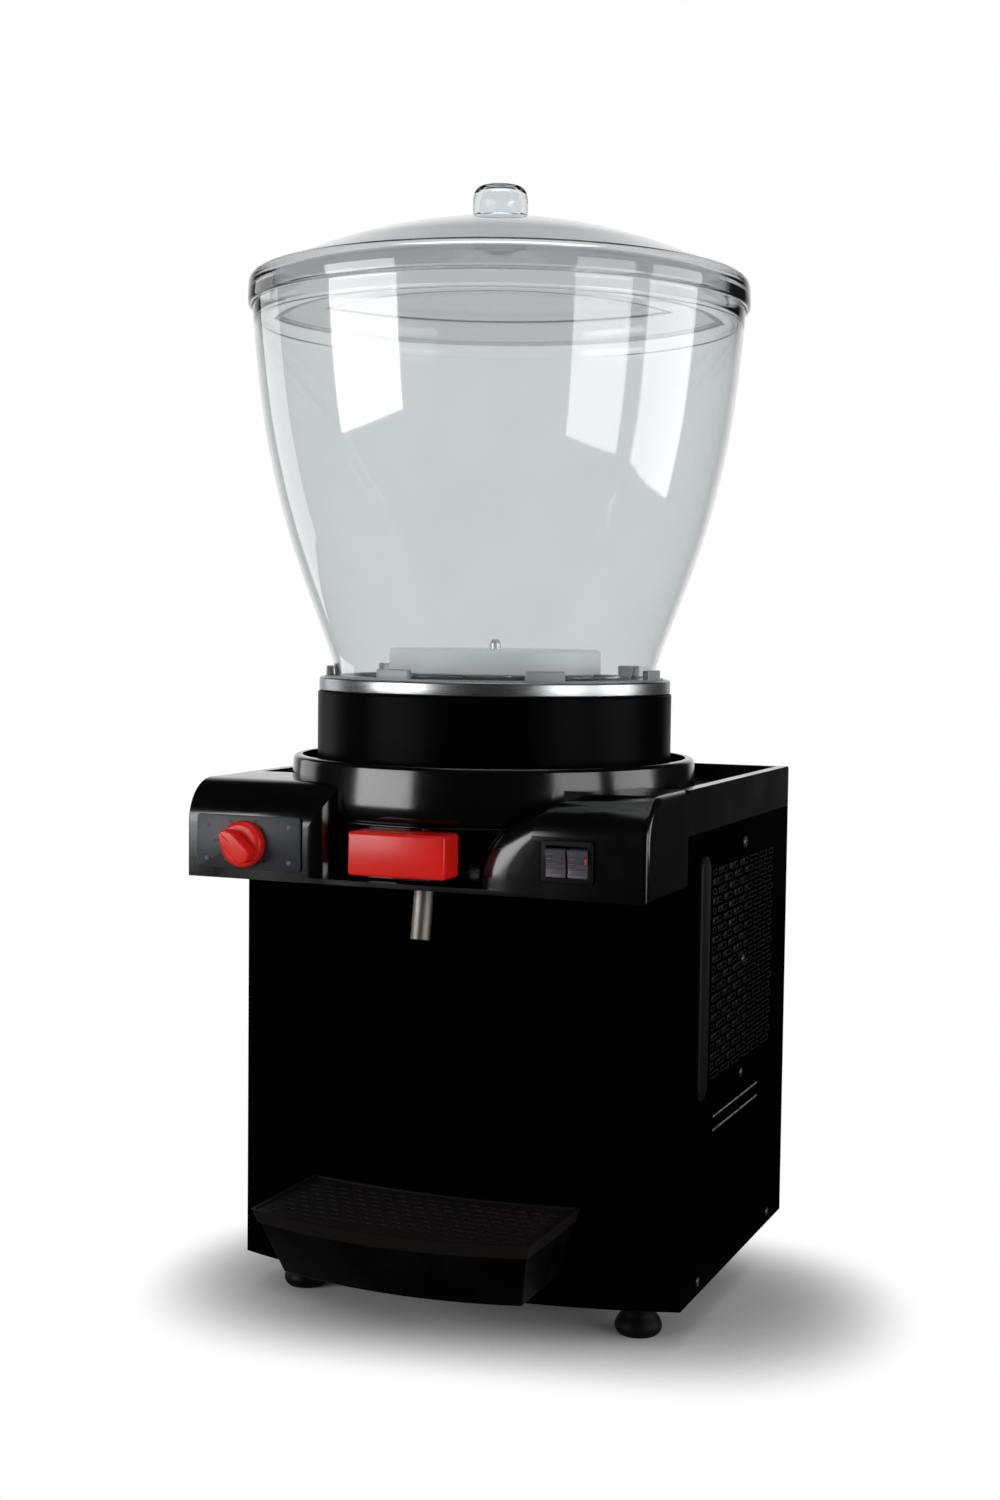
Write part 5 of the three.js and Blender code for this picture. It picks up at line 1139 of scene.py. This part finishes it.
def studioWorld():
    world = bpy.data.worlds.new("studio")
    scene.world = world
    air = Net(world)
    direct, mirrored = air.rays()
    towards = air.node("ShaderNodeTexCoord").pick("Generated")
    room = mirrored * backdropMask(air, towards) + (1 - mirrored) * backdrop["ambient"]
    sky = air.node("ShaderNodeBackground", None, {
        "Color": (1, 1, 1, 1), "Strength": direct + (1 - direct) * room})
    air.node("ShaderNodeOutputWorld", None, {"Surface": sky})


studioWorld()

# name, place round the bowl (0 is the front, 90 the right), height of the middle, width, height, level
lampDistance = 2.3
lamps = [
    ("strip front left", -40, 0.58, 1.45, 0.76, 8),
    ("strip front right", 68, 0.52, 1.1, 1.15, 4.2),
    ("strip right", 105, 0.52, 1.2, 1.15, 4.2),
    ("strip left", -106, 0.52, 0.9, 1.15, 1.5),
]


def areaLamp(name, place, target, width, height, level):
    light = bpy.data.lights.new(name, "AREA")
    light.shape = "RECTANGLE"
    light.size, light.size_y = width, height
    light.energy = math.pi * width * height * level
    lamp = bpy.data.objects.new(name, light)
    scene.collection.objects.link(lamp)
    lamp.location = place
    lamp.rotation_euler = (Vector(target) - Vector(place)).to_track_quat("-Z", "Y").to_euler()
    lamp.visible_camera = False
    return lamp


for name, turn, height, width, tall, level in lamps:
    angle = math.radians(turn)
    place = (lampDistance * math.sin(angle), -lampDistance * math.cos(angle), height)
    lamp = areaLamp(name, place, (0, 0, height), width, tall, level)
    lamp.visible_transmission = turn > -90          # the left one would show through the bowl
areaLamp("softbox above", (0.1, -0.2, 2.6), (0, 0, 0), 1.6, 1.6, 1.2)

# place in metres, angles in degrees, and the focal length in the photograph's pixels
camera = {"x": 0.5669, "y": -1.3894, "z": 0.5, "turn": 22.13, "dip": 3.55, "roll": 0.69, "focal": 2023.4,
          "long": 1500, "sensor": 36, "near": 0.05, "far": 60}


def fittedCamera():
    turn, dip, roll = [math.radians(angle) for angle in sizesOf(camera, "turn dip roll")]
    look = Vector((-math.sin(turn) * math.cos(dip), math.cos(turn) * math.cos(dip), -math.sin(dip)))
    level = Vector((math.cos(turn), math.sin(turn), 0))
    upward = level.cross(look)
    across = level * math.cos(roll) + upward * math.sin(roll)
    up = upward * math.cos(roll) - level * math.sin(roll)
    data = bpy.data.cameras.new("view")
    data.sensor_fit = "AUTO"
    data.sensor_width = camera["sensor"]
    data.lens = camera["focal"] * camera["sensor"] / camera["long"]
    data.clip_start, data.clip_end = camera["near"], camera["far"]
    view = bpy.data.objects.new("view", data)
    scene.collection.objects.link(view)
    place = Matrix.Translation((camera["x"], camera["y"], camera["z"]))
    view.matrix_world = place @ Matrix((across, up, -look)).transposed().to_4x4()
    return view


scene.camera = fittedCamera()
scene.view_settings.view_transform = "Standard"
print("stage and camera done")
